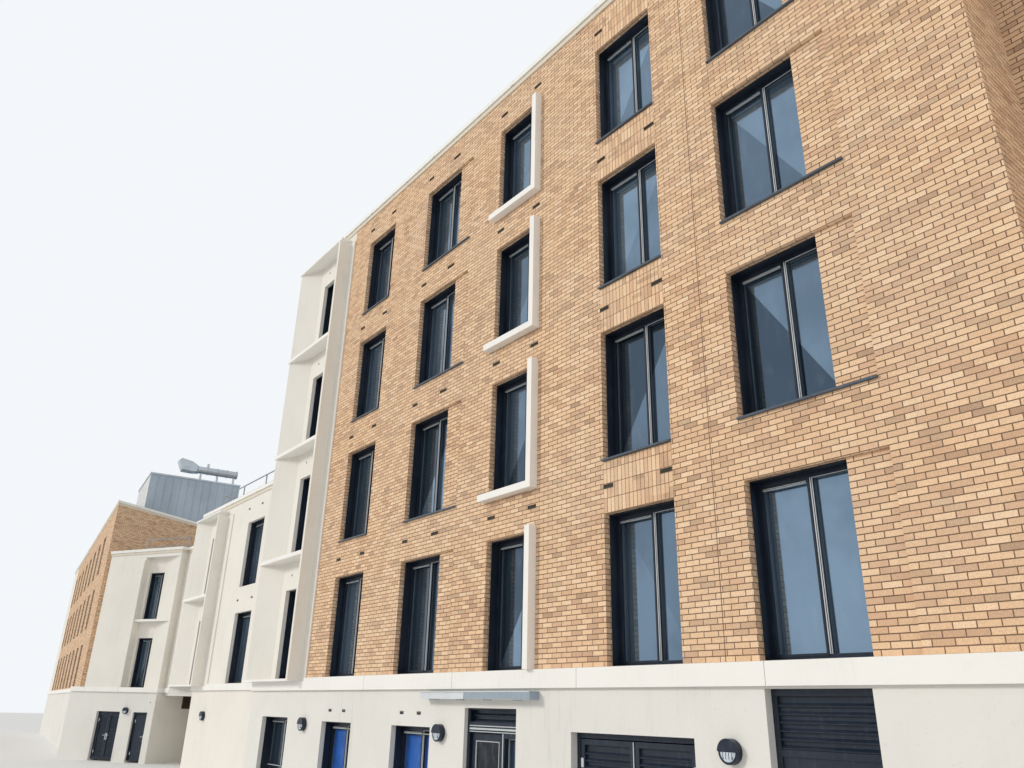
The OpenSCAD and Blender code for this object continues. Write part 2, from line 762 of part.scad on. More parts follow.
module tower_side() {
    color(white) at_main() {
        plate(side_plan, ground_h, main_top);
        box(-tower_w, -tower_w + wall_t, wall_t, main_d - wall_t, main_top, main_top + parapet_h);
    }
}
module tower_windows() {
    color(navy) at_main() window_set(tower_holes, fold_y);
}
module entrance_frame() {
    front = leaf_back - frame_depth;
    color(navy) at_main() translate([entrance_x, 0, 0]) {
        difference() {
            box(0, entrance_w, front, leaf_back, slab_t, entrance_head);
            box(jamb, light_x - jamb, front - eps, leaf_back + eps, slab_t - eps, leaf_head);
            box(light_x, entrance_w - jamb, front - eps, leaf_back + eps, slab_t + jamb,
                leaf_head - jamb);
            box(jamb, entrance_w - jamb, front - eps, leaf_back + eps, leaf_head + transom_h,
                entrance_head - head_bar);
        }
        translate([0, leaf_front, 0]) blades(jamb, entrance_w - jamb, leaf_head + transom_h,
            entrance_head - head_bar, door_t);
    }
}
module on_entrance_leaf() {
    at_main() translate([entrance_x + jamb + door_gap, leaf_front, leaf_z]) children();
}
module entrance_door() {
    color(navy) on_entrance_leaf() {
        difference() {
            cube([leaf_w, door_t, leaf_h]);
            box(leaf_stile, leaf_w - leaf_stile, -eps, door_t + eps, leaf_stile, leaf_h - leaf_stile);
        }
        translate([0, door_t, 0]) knuckles(leaf_h, 1);
    }
}
module entrance_pane() {
    color(pane) on_entrance_leaf() box(leaf_stile, leaf_w - leaf_stile, (door_t - sheet_t) / 2,
        (door_t + sheet_t) / 2, leaf_stile, leaf_h - leaf_stile);
}
module entrance_canopy() {
    z = ground_h - canopy_drop;
    color(white) at_main()
        box(canopy_x, canopy_x + canopy_w, -canopy_out, 0, z, z + canopy_t);
}
module ground_windows() {
    color(navy) at_main() {
        window_set(ground_holes);
        window_set(under_tower_holes);
    }
}
module door_frames() {
    color(navy) at_main() {
        door_frame(plant_hole, leaf_front);
        on_wing() door_frame(wing_leaves_hole, leaf_front);
        on_wing() door_frame(wing_door_hole, leaf_back - frame_depth);
    }
}
module plant_door_left() {
    color(navy) at_main() double_leaf(plant_hole, 1);
}
module plant_door_right() {
    color(navy) at_main() double_leaf(plant_hole, -1);
}
module wall_louvres() {
    color(navy) at_main() translate([louvre_x, leaf_front, 0]) {
        difference() {
            box(0, louvre_w, 0, door_t, slab_t, louvre_head);
            box(leaf_bar, louvre_w - leaf_bar, -eps, door_t + eps, louvre_foot, louvre_head - leaf_bar);
            box(leaf_bar, louvre_w - leaf_bar, -eps, panel_in, slab_t + leaf_bar,
                louvre_foot - leaf_bar);
        }
        blades(leaf_bar, louvre_w - leaf_bar, louvre_foot, louvre_head - leaf_bar, door_t);
    }
}
module back_windows() {
    color(navy) at_back() window_set(back_holes);
}
module outer_glass() {
    color(pane) {
        at_back() glass_set(back_holes);
        at_main() glass_set(link_holes, link_back);
        at_main() glass_set(link_bay_holes, link_fold_y);
        at_wing() glass_set(wing_holes, wing_fold);
        at_far() glass_set(far_holes);
    }
}
module link_front() {
    color(white) at_main() {
        difference() {
            plate(wall_plan(low_line, low_inner, 9, 11), ground_h, low_top);
            cut(link_bay_holes, link_fold_y);
        }
        difference() {
            box(link_fin_x, -tower_w, link_back, link_back + wall_t, ground_h, low_top);
            cut(link_holes, link_back);
        }
        plate(wall_plan(low_ground_line, low_ground_inner, 5, 7), 0, ground_h);
    }
}
module low_fins() {
    top = low_top - fin_drop;
    color(white) at_main() {
        box(link_fin_x - fin_w, link_fin_x, link_back - link_fin_out, link_back + wall_t,
            ground_h, top);
        box(link_fin_x - eps, link_fin_x + link_pier_w, link_back - pier_out, link_back,
            ground_h, top);
        box(link_fin_x - fin_w, link_fin_x, link_back, link_back + wall_t, top, low_top);
    }
    color(white) at_wing() box(wing_panel_w, wing_fin_x, -wing_fin_out, -seat, string_top, top);
}
module low_ledges() {
    y0 = link_back - link_bay_out;
    color(white) at_main() for (i = [0:link_floors]) {
        plate([[link_x - ledge_lap, y0 - ledge_out], [link_fin_x - fin_w, y0 - ledge_out],
            [link_fin_x - fin_w, link_fold_y], low_line[10], low_line[9],
            [link_x - ledge_lap, y0]], ledge_foot(i), ledge_head(i, link_floors));
        plate([low_line[3], wing_corner, low_line[5], low_line[4]], ledge_foot(i),
            i == 0 ? string_top : ledge_head(i, link_floors));
    }
}
module low_back() {
    color(white) at_main() {
        plate([back_room[0], [-tower_w, low_back_y], [far_line_x(low_back_y), low_back_y],
            back_room[1]], 0, low_top + parapet_h);
    }
}
module low_sides() {
    color(white) at_main() {
        plate(wall_plan(low_ground_line, low_ground_inner, 0, 2), 0, ground_h);
        plate(wall_plan(low_ground_line, low_ground_inner, 3, 5), 0, ground_h);
        plate(wall_plan(low_line, low_inner, 0, 2), ground_h, low_top);
        plate(wall_plan(low_line, low_inner, 6, 9), ground_h, low_top);
        plate(along(low_parapet_line, 0, wall_t), low_top, low_top + parapet_h);
    }
}
module low_floors() {
    color(grey) at_main() {
        plate(low_ground_room, ground_h - floor_t, ground_h);
        plate(soffit_plan, ground_h - floor_t, ground_h);
        for (i = [1:link_floors]) plate(low_room, floor_z(i) - floor_t, floor_z(i));
    }
}
module low_coping() {
    z1 = low_top + parapet_h;
    y = inner_back - coping_out;
    color(white) at_main() {
        coping_run(low_parapet_line, z1);
        coping_run([[-tower_w, low_back_y], [far_line_x(y), low_back_y]], z1);
    }
}
module low_windows() {
    color(navy) at_main() {
        window_set(link_holes, link_back);
        window_set(link_bay_holes, link_fold_y);
    }
    color(navy) at_wing() window_set(wing_holes, wing_fold);
}
module wing_front() {
    color(white) at_main() difference() {
        plate(wall_plan(low_line, low_inner, 2, 6), ground_h, low_top);
        on_wing() cut(wing_holes, wing_fold);
    }
}
module wing_ground() {
    color(white) at_main() difference() {
        plate(wall_plan(low_ground_line, low_ground_inner, 2, 3), 0, ground_h);
        on_wing() cut_door(wing_leaves_hole);
        on_wing() cut_door(wing_door_hole);
    }
}
module wing_door() {
    w = wing_door_w - 2 * jamb - 2 * door_gap;
    h = wing_door_hole[3] - jamb - 2 * door_gap;
    color(navy) at_wing() translate([wing_door_x + jamb + door_gap, leaf_front, leaf_z]) {
        cube([w, door_t, h]);
        translate([0, door_t, 0]) knuckles(h, 1);
    }
}
module wing_leaf_left() {
    color(navy) at_wing() double_leaf(wing_leaves_hole, 1);
}
module wing_leaf_right() {
    color(navy) at_wing() double_leaf(wing_leaves_hole, -1);
}
module far_front() {
    color(brick) at_far() difference() {
        plate([[far_end_w, 0], far_outline[1], far_room[1], [far_end_w, wall_t]],
            far_ground_h, far_top + far_parapet_h);
        cut(far_holes);
    }
}
module far_side() {
    color(brick) at_far() plate(wall_plan(far_outline, far_room, 1, 2),
        far_ground_h, far_top + far_parapet_h);
}
module far_back() {
    color(brick) at_far() plate(wall_plan(far_outline, far_room, 2, 3),
        far_ground_h, far_top + far_parapet_h);
}
module far_end() {
    color(white) at_far() plate([far_outline[3], far_outline[0], [far_end_w, 0],
        [far_end_w, wall_t], far_room[0], far_room[3]], far_ground_h, far_top + far_parapet_h);
}
module far_ground() {
    color(white) at_far() ring(far_outline, 0, wall_t, 0, far_ground_h);
}
module far_floors() {
    color(grey) at_far() for (i = [0:far_floors])
        plate(far_room, floor_z(i) + far_lift - floor_t, floor_z(i) + far_lift);
}
module far_coping() {
    color(white) at_far() coping_ring(far_outline, far_top + far_parapet_h);
}
module far_windows() {
    color(navy) at_far() window_set(far_holes);
}
module plant_room() {
    x1 = far_w - plant_x;
    x0 = x1 - plant_w;
    z1 = far_top + plant_h;
    color(grey) at_far() difference() {
        box(x0, x1, plant_y, plant_y + plant_d, far_top, z1);
        box(x0 + plant_t, x1 - plant_t, plant_y + plant_t, plant_y + plant_d - plant_t,
            far_top - eps, z1 - plant_t);
    }
}
// A round duct on feet along the plant room's side, with a faceted hood and a stub
module plant_duct() {
    z = far_top + plant_h;
    up = duct_up + duct_r;
    run = plant_d - duct_start - duct_r;
    color(grey) at_far() translate([far_w - plant_x - duct_r, plant_y + duct_start, z]) {
        translate([0, -eps, up]) rotate([-90, 0, 0]) cylinder(r = duct_r, h = run, $fn = 24);
        translate([-hood_w / 2, 0, up]) rotate([90, 0, 90]) linear_extrude(hood_w)
            polygon([[0, 0.9 * duct_r], [-170, 1.7 * duct_r], [-500, 2.2 * duct_r],
                [-580, 1.6 * duct_r], [-450, -0.9 * duct_r], [-170, -duct_r], [0, -0.9 * duct_r]]);
        translate([0, 3 * duct_r, up]) cylinder(r = duct_r / 3, h = 2 * duct_r, $fn = 12);
        for (k = [0.1, 0.5, 0.9]) translate([-foot_w / 2, run * k, 0]) cube([foot_w, foot_w, up - duct_r / 2]);
    }
}
module wall_lights() {
    color(navy) at_main() {
        for (x = main_light_x) wall_light(x, 0);
        wall_light(link_light_x, link_back);
        on_wing() wall_light(wing_light_x, -seat);
    }
}
module guard_rails() {
    y = link_back + wall_t + rail_in;
    color(grey) at_main() {
        rail([[link_x + wall_t, y + post_pitch], [link_x + wall_t, y],
            [-tower_w - post_pitch / 2, y]], low_top);
        rail([wing_pt(wing_rail_x, wing_rail_y), wing_pt(wing_w - wing_rail_x, wing_rail_y)], low_top);
    }
}

ground_slabs();
main_front();
main_right_side();
main_back();
main_floors();
main_coping();
string_course();
ground_front_left();
ground_front_right();
door_lintels();
ground_sides();
main_windows();
main_glass();
window_surrounds();
window_sills();
tower_front();
tower_fin();
tower_ledges();
tower_side();
tower_windows();
entrance_frame();
entrance_door();
entrance_pane();
entrance_canopy();
ground_windows();
door_frames();
plant_door_left();
plant_door_right();
wall_louvres();
back_windows();
outer_glass();
link_front();
low_fins();
low_ledges();
low_sides();
low_back();
low_floors();
low_coping();
low_windows();
wing_front();
wing_ground();
wing_door();
wing_leaf_left();
wing_leaf_right();
far_front();
far_side();
far_back();
far_end();
far_ground();
far_floors();
far_coping();
far_windows();
plant_room();
plant_duct();
wall_lights();
guard_rails();
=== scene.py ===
import math
import random

import bpy
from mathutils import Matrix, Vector


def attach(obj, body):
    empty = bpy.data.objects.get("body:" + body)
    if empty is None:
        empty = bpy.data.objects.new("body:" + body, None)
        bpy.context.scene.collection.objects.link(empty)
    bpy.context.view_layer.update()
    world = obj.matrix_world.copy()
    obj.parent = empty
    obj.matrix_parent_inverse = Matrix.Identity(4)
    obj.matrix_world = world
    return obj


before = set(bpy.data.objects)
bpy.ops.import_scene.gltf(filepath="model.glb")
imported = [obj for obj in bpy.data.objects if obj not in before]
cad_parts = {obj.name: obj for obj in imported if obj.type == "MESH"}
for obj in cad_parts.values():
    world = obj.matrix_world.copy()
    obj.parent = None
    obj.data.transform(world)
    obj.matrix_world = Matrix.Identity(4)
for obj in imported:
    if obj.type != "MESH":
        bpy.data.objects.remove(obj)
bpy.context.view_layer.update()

print("frame loaded")

# Camera where the photo was taken from, and the studio

view = {
    "place": (5.1927, -7.398, 1.2282),
    "turnDegrees": (112.28616778701364, -1.369092745282511, 52.128367818194896),
    "lens": 28.12, "sensor": 36.0,
    "near": 0.02, "reach": 500.0,
}
studio = {
    "floorHalf": 90.0, "floorTone": (0.80, 0.80, 0.79), "floorRough": 0.8,
    "backTone": (0.90, 0.93, 0.96), "ambient": 0.58,
    "keyStrength": 1.6, "keyAngle": 14.0, "keyTowards": (0.50, 0.78, -0.42),
    "keyTone": (1.0, 0.97, 0.92),
    "fillStrength": 0.35, "fillAngle": 40.0, "fillTowards": (-0.75, 0.45, -0.35),
    "fillTone": (0.92, 0.96, 1.0),
}


def makeCamera():
    data = bpy.data.cameras.new("photoCamera")
    data.lens, data.sensor_width = view["lens"], view["sensor"]
    data.clip_start, data.clip_end = view["near"], view["reach"]
    camera = bpy.data.objects.new("photoCamera", data)
    camera.location = view["place"]
    camera.rotation_euler = [math.radians(a) for a in view["turnDegrees"]]
    bpy.context.collection.objects.link(camera)
    bpy.context.scene.camera = camera


def makeLamp(kind):
    name = kind + "Light"
    data = bpy.data.lights.new(name, "SUN")
    data.energy, data.color = studio[kind + "Strength"], studio[kind + "Tone"]
    data.angle = math.radians(studio[kind + "Angle"])
    lamp = bpy.data.objects.new(name, data)
    lamp.rotation_euler = Vector(studio[kind + "Towards"]).to_track_quat("-Z", "Y").to_euler()
    lamp.visible_glossy = False    # panes mirror the backdrop, not the lamp
    bpy.context.collection.objects.link(lamp)


# Helpers that lay nodes

def linear(hexCode):
    parts = [int(hexCode[i:i + 2], 16) / 255 for i in (0, 2, 4)]
    return tuple(p / 12.92 if p <= 0.04045 else ((p + 0.055) / 1.055) ** 2.4
                 for p in parts) + (1.0,)


def put(tree, kind, sockets=None, **settings):
    node = tree.nodes.new("ShaderNode" + kind)
    for key, value in settings.items():
        setattr(node, key, value)
    for key, value in (sockets or {}).items():
        if isinstance(value, bpy.types.NodeSocket):
            tree.links.new(value, node.inputs[key])
        else:
            node.inputs[key].default_value = value
    return node


def calc(tree, operation, a, b=0.0, c=0.0):
    return put(tree, "Math", {0: a, 1: b, 2: c}, operation=operation).outputs[0]


def mixed(tree, factor, a, b, mode="MIX"):
    return put(tree, "Mix", {0: factor, 6: a, 7: b}, data_type="RGBA", blend_type=mode).outputs[2]


def tinted(tree, colour, mask, share, hexCode):
    return mixed(tree, calc(tree, "MULTIPLY", mask, share), colour, linear(hexCode))


def picked(tree, factor, a, b):
    return put(tree, "Mix", {0: factor, 2: a, 3: b}, data_type="FLOAT").outputs[0]


def ranged(tree, value, low, high, toLow=0.0, toHigh=1.0):
    return put(tree, "MapRange", {0: value, 1: low, 2: high, 3: toLow, 4: toHigh},
               interpolation_type="SMOOTHSTEP").outputs[0]


def noise(tree, place, scale, detail=3.0, rough=0.5):
    return put(tree, "TexNoise", {"Vector": place, "Scale": scale, "Detail": detail,
                                  "Roughness": rough}).outputs[0]


def newGroup(name, inputs, outputs):
    tree = bpy.data.node_groups.new(name, "ShaderNodeTree")
    for label, value in inputs.items():
        socket = tree.interface.new_socket(name=label, in_out="INPUT",
                                           socket_type="NodeSocketFloat")
        socket.default_value = value
    for label in outputs:
        tree.interface.new_socket(name=label, in_out="OUTPUT", socket_type="NodeSocketFloat")
    given = tree.nodes.new("NodeGroupInput").outputs
    return tree, given, tree.nodes.new("NodeGroupOutput").inputs


def useGroup(tree, group, **values):
    node = tree.nodes.new("ShaderNodeGroup")
    node.node_tree = group
    for label, value in values.items():
        node.inputs[label].default_value = value
    return node.outputs


def newFinish(name, **plain):
    finish = bpy.data.materials.new(name)
    finish.use_nodes = True
    skin = finish.node_tree.nodes["Principled BSDF"]
    for label, value in plain.items():
        skin.inputs[label].default_value = value
    return finish, finish.node_tree, skin


def wire(tree, skin, colour, roughness, height, strength, depth):
    tree.links.new(colour, skin.inputs["Base Color"])
    tree.links.new(roughness, skin.inputs["Roughness"])
    bump = put(tree, "Bump", {"Strength": strength, "Distance": depth, "Height": height})
    tree.links.new(bump.outputs[0], skin.inputs["Normal"])


# Brick: sizes and joints in metres, tones from light to burnt

brick = {
    "tones": ["EAC59F", "EDC9A3", "E4BE99", "F0CDA8", "DFB895", "E9C39D",
              "DAB290", "EECAA5", "D1AB8B", "E7C19B", "E1BB97", "F2D1AD"],
    "mortar": "6B513E", "dark": "8C715C", "bloom": "E2CDB4",
    "width": 0.1125, "height": 0.0375, "joint": 0.005, "startV": 0.034, "shift": 0.5,
    "soft": 0.0012, "slipSoft": 0.0001,
    "proud": 0.0016, "jitter": 0.0005,
    "burnt": (0.86, 0.99, 0.0, 0.45), "shade": (0.30, 0.72, 0.80, 1.10),
    "bloomShare": 0.22, "streakShare": 0.14, "sandShare": 0.18,
    "size": 1.0, "streakLength": 0.15,
    "roughness": (0.78, 0.95), "gritLift": 0.45, "bump": 0.55, "bumpDepth": 0.0016,
}
levelLimit = 0.7    # faces steeper than this towards +Z count as level
cellLayer = 3.7


# Coordinates along a wall that is turned about Z, and the cells of its brick bond
def makeBondGroup():
    tree, given, made = newGroup(
        "wallBond",
        {"turn": 0.0, "pitchU": brick["width"], "pitchV": brick["height"],
         "shift": brick["shift"], "startV": brick["startV"], "joint": brick["joint"],
         "soft": brick["soft"]},
        ["tone", "second", "mortar", "relief"])
    coords = put(tree, "TexCoord").outputs
    place, facing = (
        put(tree, "SeparateXYZ", {0: put(
            tree, "VectorRotate", {"Vector": coords[label], "Angle": given["turn"]},
            rotation_type="Z_AXIS").outputs[0]}).outputs
        for label in ("Object", "Normal"))
    tilt = [calc(tree, "ABSOLUTE", facing[i]) for i in range(3)]
    sideways = calc(tree, "GREATER_THAN", tilt[0], tilt[1])
    level = calc(tree, "GREATER_THAN", tilt[2], levelLimit)
    u = picked(tree, level, picked(tree, sideways, place[0], place[1]), place[0])
    v = picked(tree, level, calc(tree, "SUBTRACT", place[2], given["startV"]), place[1])
    rows = calc(tree, "DIVIDE", v, given["pitchV"])
    row = calc(tree, "FLOOR", rows)
    slide = calc(tree, "MULTIPLY", calc(tree, "FLOORED_MODULO", row, 2.0), given["shift"])
    cols = calc(tree, "ADD", calc(tree, "DIVIDE", u, given["pitchU"]), slide)
    cell = put(tree, "CombineXYZ", {0: calc(tree, "FLOOR", cols), 1: row, 2: cellLayer})
    chance = put(tree, "TexWhiteNoise", {"Vector": cell.outputs[0]}, noise_dimensions="3D")
    tree.links.new(chance.outputs["Value"], made["tone"])
    split = put(tree, "SeparateColor", {0: chance.outputs["Color"]})
    tree.links.new(split.outputs[1], made["second"])
    reach = []
    for count, pitch in ((cols, given["pitchU"]), (rows, given["pitchV"])):
        part = calc(tree, "FRACT", count)
        near = calc(tree, "MINIMUM", part, calc(tree, "SUBTRACT", 1.0, part))
        reach.append(calc(tree, "MULTIPLY", near, pitch))
    nearest = calc(tree, "MINIMUM", reach[0], reach[1])
    half = calc(tree, "MULTIPLY", given["joint"], 0.5)
    inner = ranged(tree, nearest, half, calc(tree, "ADD", half, given["soft"]))
    tree.links.new(calc(tree, "SUBTRACT", 1.0, inner), made["mortar"])
    tree.links.new(inner, made["relief"])
    return tree


weathering = {
    "streak": {"scale": 14.0, "detail": 5.0, "rough": 0.62, "low": 0.50, "high": 0.78},
    "patch": {"scale": 1.1, "detail": 4.0, "rough": 0.6, "low": 0.36, "high": 0.68},
    "grit": {"scale": 160.0, "detail": 4.0, "rough": 0.65},
    "speck": {"scale": 46.0, "detail": 2.0, "rough": 0.5, "low": 0.62, "high": 0.74},
}
gritBand = (0.3, 0.7)


# Rain streaks, broad patches, fine grit and specks, all in object space
def makeWeatherGroup():
    tree, given, made = newGroup("weather", {"size": 1.0, "streakLength": 0.12},
                                 list(weathering))
    place = put(tree, "TexCoord").outputs["Object"]
    scaled = put(tree, "VectorMath", {0: place, "Scale": given["size"]},
                 operation="SCALE").outputs[0]
    parts = put(tree, "SeparateXYZ", {0: scaled}).outputs
    drawn = calc(tree, "MULTIPLY", parts[2], given["streakLength"])
    tall = put(tree, "CombineXYZ", {0: parts[0], 1: parts[1], 2: drawn}).outputs[0]
    for kind, spec in weathering.items():
        grain = noise(tree, tall if kind == "streak" else scaled,
                      spec["scale"], spec["detail"], spec["rough"])
        if "low" in spec:
            grain = ranged(tree, grain, spec["low"], spec["high"])
        tree.links.new(grain, made[kind])
    return tree


bondGroup = makeBondGroup()
weatherGroup = makeWeatherGroup()


def weathered(name, size, streakLength, **plain):
    finish, tree, skin = newFinish(name, **plain)
    weather = useGroup(tree, weatherGroup, size=size, streakLength=streakLength)
    return finish, tree, skin, weather


def gritty(tree, weather, low, high):
    return ranged(tree, weather["grit"], *gritBand, low, high)


def patchy(tree, weather, low, high):
    return ranged(tree, weather["patch"], 0.0, 1.0, low, high)


def brickFinish(name, turn=0.0, bySlip=False):
    finish, tree, skin, weather = weathered(name, brick["size"], brick["streakLength"])
    cells = useGroup(tree, bondGroup, turn=math.radians(turn), pitchU=brick["width"],
                     pitchV=brick["height"], joint=0.0 if bySlip else brick["joint"],
                     soft=brick["slipSoft"] if bySlip else brick["soft"],
                     startV=brick["startV"])
    island = put(tree, "NewGeometry").outputs["Random Per Island"]
    ramp = put(tree, "ValToRGB", {0: island if bySlip else cells["tone"]})
    ramp.color_ramp.interpolation = "CONSTANT"
    spots = ramp.color_ramp.elements
    for i, tone in enumerate(brick["tones"]):
        spot = spots[i] if i < 2 else spots.new(i / len(brick["tones"]))
        spot.position = i / len(brick["tones"])
        spot.color = linear(tone)
    burnt = ranged(tree, cells["second"], *brick["burnt"])
    face = mixed(tree, burnt, ramp.outputs[0], linear(brick["dark"]))
    face = tinted(tree, face, weather["patch"], brick["bloomShare"], brick["bloom"])
    face = tinted(tree, face, weather["streak"], brick["streakShare"], brick["dark"])
    shade = ranged(tree, weather["grit"], *brick["shade"])
    grey = put(tree, "CombineColor", {0: shade, 1: shade, 2: shade}).outputs[0]
    face = mixed(tree, 1.0, face, grey, "MULTIPLY")
    sand = tinted(tree, linear(brick["mortar"]), weather["grit"], brick["sandShare"],
                  brick["bloom"])
    colour = mixed(tree, cells["mortar"], face, sand)
    lifted = calc(tree, "MULTIPLY", weather["grit"], brick["gritLift"])
    wire(tree, skin, colour, gritty(tree, weather, *brick["roughness"]),
         calc(tree, "ADD", cells["relief"], lifted), brick["bump"], brick["bumpDepth"])
    return finish


mortar = {"size": 2.0, "streakLength": 0.4, "sandShare": 0.15, "roughness": (0.85, 0.98),
          "bump": 0.5, "bumpDepth": 0.001}


def mortarFinish(name):
    finish, tree, skin, weather = weathered(name, mortar["size"], mortar["streakLength"])
    colour = tinted(tree, linear(brick["mortar"]), weather["grit"], mortar["sandShare"],
                    brick["bloom"])
    wire(tree, skin, colour, gritty(tree, weather, *mortar["roughness"]), weather["grit"],
         mortar["bump"], mortar["bumpDepth"])
    return finish


paint = {"streakLength": 0.10, "speckShare": 0.10, "smoother": 0.08, "rougher": 0.12,
         "bumpDepth": 0.0008}


def paintFinish(name, base, dirt, dirtShare=0.25, rough=0.62, grain=0.35, size=1.0,
                patchShare=0.08):
    finish, tree, skin, weather = weathered(name, size, paint["streakLength"])
    runs = calc(tree, "MULTIPLY", weather["streak"], weather["patch"])
    colour = tinted(tree, linear(base), runs, dirtShare, dirt)
    colour = tinted(tree, colour, weather["patch"], patchShare, dirt)
    colour = tinted(tree, colour, weather["speck"], paint["speckShare"], dirt)
    wire(tree, skin, colour,
         gritty(tree, weather, rough - paint["smoother"], rough + paint["rougher"]),
         weather["grit"], grain, paint["bumpDepth"])
    return finish


metal = {"streakLength": 0.2, "patchPart": 0.5, "smoother": 0.06, "rougher": 0.12,
         "bumpDepth": 0.0005}


def metalFinish(name, base, worn, metallic, rough, size=1.0, share=0.3, grain=0.08):
    finish, tree, skin, weather = weathered(name, size, metal["streakLength"],
                                            Metallic=metallic)
    colour = tinted(tree, linear(base), weather["streak"], share, worn)
    colour = tinted(tree, colour, weather["patch"], share * metal["patchPart"], worn)
    wire(tree, skin, colour,
         patchy(tree, weather, rough - metal["smoother"], rough + metal["rougher"]),
         weather["grit"], grain, metal["bumpDepth"])
    return finish


pane = {"streakLength": 0.3, "patchShare": 0.35, "dustShare": 0.10, "dust": "B9C0C4",
        "rougher": 0.06, "waveScale": 1.6, "waveDetail": 1.0, "wave": 0.05, "waveDepth": 0.004}


# Coated panes: each has its own tone, with broad patches and a little dust
def glassFinish(name, light, dark, rough=0.05, metallic=0.75):
    finish, tree, skin, weather = weathered(name, 1.0, pane["streakLength"],
                                            Metallic=metallic)
    island = put(tree, "NewGeometry").outputs["Random Per Island"]
    tone = mixed(tree, island, linear(light), linear(dark))
    tone = tinted(tree, tone, weather["patch"], pane["patchShare"], dark)
    tone = tinted(tree, tone, weather["streak"], pane["dustShare"], pane["dust"])
    waves = noise(tree, put(tree, "TexCoord").outputs["Object"], pane["waveScale"],
                  pane["waveDetail"])
    wire(tree, skin, tone, patchy(tree, weather, rough, rough + pane["rougher"]), waves,
         pane["wave"], pane["waveDepth"])
    return finish


capping = {"lower": "D9D0BF", "upper": "ECEBE6", "worn": "A9A69C", "wornShare": 0.30,
           "streakLength": 0.10, "edge": 0.001, "roughness": (0.35, 0.50), "bump": 0.10,
           "bumpDepth": 0.0005}


# Two-tone metal capping: a white upper band over a cream one, split at a given height
def copingFinish(name, split):
    finish, tree, skin, weather = weathered(name, 1.0, capping["streakLength"])
    place = put(tree, "SeparateXYZ", {0: put(tree, "TexCoord").outputs["Object"]}).outputs
    upper = ranged(tree, place[2], split - capping["edge"], split + capping["edge"])
    base = mixed(tree, upper, linear(capping["lower"]), linear(capping["upper"]))
    colour = tinted(tree, base, weather["streak"], capping["wornShare"], capping["worn"])
    wire(tree, skin, colour, patchy(tree, weather, *capping["roughness"]), weather["grit"],
         capping["bump"], capping["bumpDepth"])
    return finish


decking = {"base": "6E6F6E", "chips": "8F908D", "chipBand": (0.35, 0.65), "patchShare": 0.35,
           "roughness": (0.75, 0.95), "bump": 0.5, "bumpDepth": 0.002}


def deckFinish(name):
    finish, tree, skin, weather = weathered(name, 1.0, 1.0)
    chips = ranged(tree, weather["grit"], *decking["chipBand"])
    colour = mixed(tree, chips, linear(decking["base"]), linear(decking["chips"]))
    colour = tinted(tree, colour, weather["patch"], decking["patchShare"], decking["chips"])
    wire(tree, skin, colour, gritty(tree, weather, *decking["roughness"]), weather["grit"],
         decking["bump"], decking["bumpDepth"])
    return finish


# Base, dirt, dirt share, roughness, grain, size of the pattern, share of patches
paints = {
    "whiteRender": ("E8E4DB", "A5A196", 0.20, 0.70, 0.45),
    "groundRender": ("E1DFD9", "94948E", 0.26, 0.72, 0.55),
    "whiteTrimAndPaintedLight": ("EFEDE8", "A8A69E", 0.18, 0.45, 0.10, 2.0, 0.05),
    "paleDeck": ("DAD8D2", "9A9A94", 0.30, 0.75, 0.55),
    "blueFilm": ("2F63B4", "173C7E", 0.6, 0.30, 0.5, 6.0, 0.4),
    "lightLens": ("C9D4DC", "8E99A2", 0.25, 0.30, 0.05, 6.0, 0.1),
    "canopyPale": ("D3D8DB", "9BA4AB", 0.3, 0.40, 0.1, 3.0, 0.1),
}
# Base, worn tone, metallic, roughness, size of the pattern, share of wear, grain
metals = {
    "navyFrame": ("1B2534", "55606C", 0.25, 0.38, 2.0, 0.22),
    "navyDoor": ("1C2634", "5C6670", 0.20, 0.45, 2.0, 0.25, 0.12),
    "paleTrimAndHighlight": ("C9CED0", "8D9498", 0.10, 0.42, 3.0, 0.25),
    "glazingBead": ("56636F", "87929A", 0.10, 0.42, 3.0, 0.25),
    "sillMetal": ("4A5460", "8A9298", 0.30, 0.40, 3.0, 0.30),
    "plantSheet": ("A9B6C2", "7E8B97", 0.35, 0.42, 1.0, 0.35),
    "ductSilver": ("B9C0C6", "7A8288", 0.80, 0.32, 2.0, 0.35),
    "railMetal": ("A7ADB1", "6D7377", 0.70, 0.45, 4.0, 0.35),
    "brownGrille": ("5B4636", "8A7562", 0.20, 0.50, 3.0, 0.25),
    "paintedShadeDark": ("20242A", "4A4F55", 0.0, 0.70, 4.0, 0.30),
    "ventFace": ("4A4538", "6E6858", 0.0, 0.60, 4.0, 0.30),
    "canopyPaintedShade": ("97A4B0", "6C7985", 0.0, 0.45, 3.0, 0.3),
}
# Height in metres at which the white band starts
copings = {"mainCoping": 7.61, "lowCoping": 4.61, "farCoping": 6.24}

finishes = {
    "frontBrick": brickFinish("frontBrick"),
    "farBrick": brickFinish("farBrick", turn=7.0),
    "soldierBrick": brickFinish("soldierBrick", bySlip=True),
    "mortar": mortarFinish("mortar"),
    "upperGlass": glassFinish("upperGlass", "8AA3BA", "3B4B5B"),
    "doorGlass": glassFinish("doorGlass", "2A3440", "12181F", 0.06, 0.5),
    "roofDeck": deckFinish("roofDeck"),
}
finishes.update({name: paintFinish(name, *values) for name, values in paints.items()})
finishes.update({name: metalFinish(name, *values) for name, values in metals.items()})
finishes.update({name: copingFinish(name, split) for name, split in copings.items()})
print("finishes made")

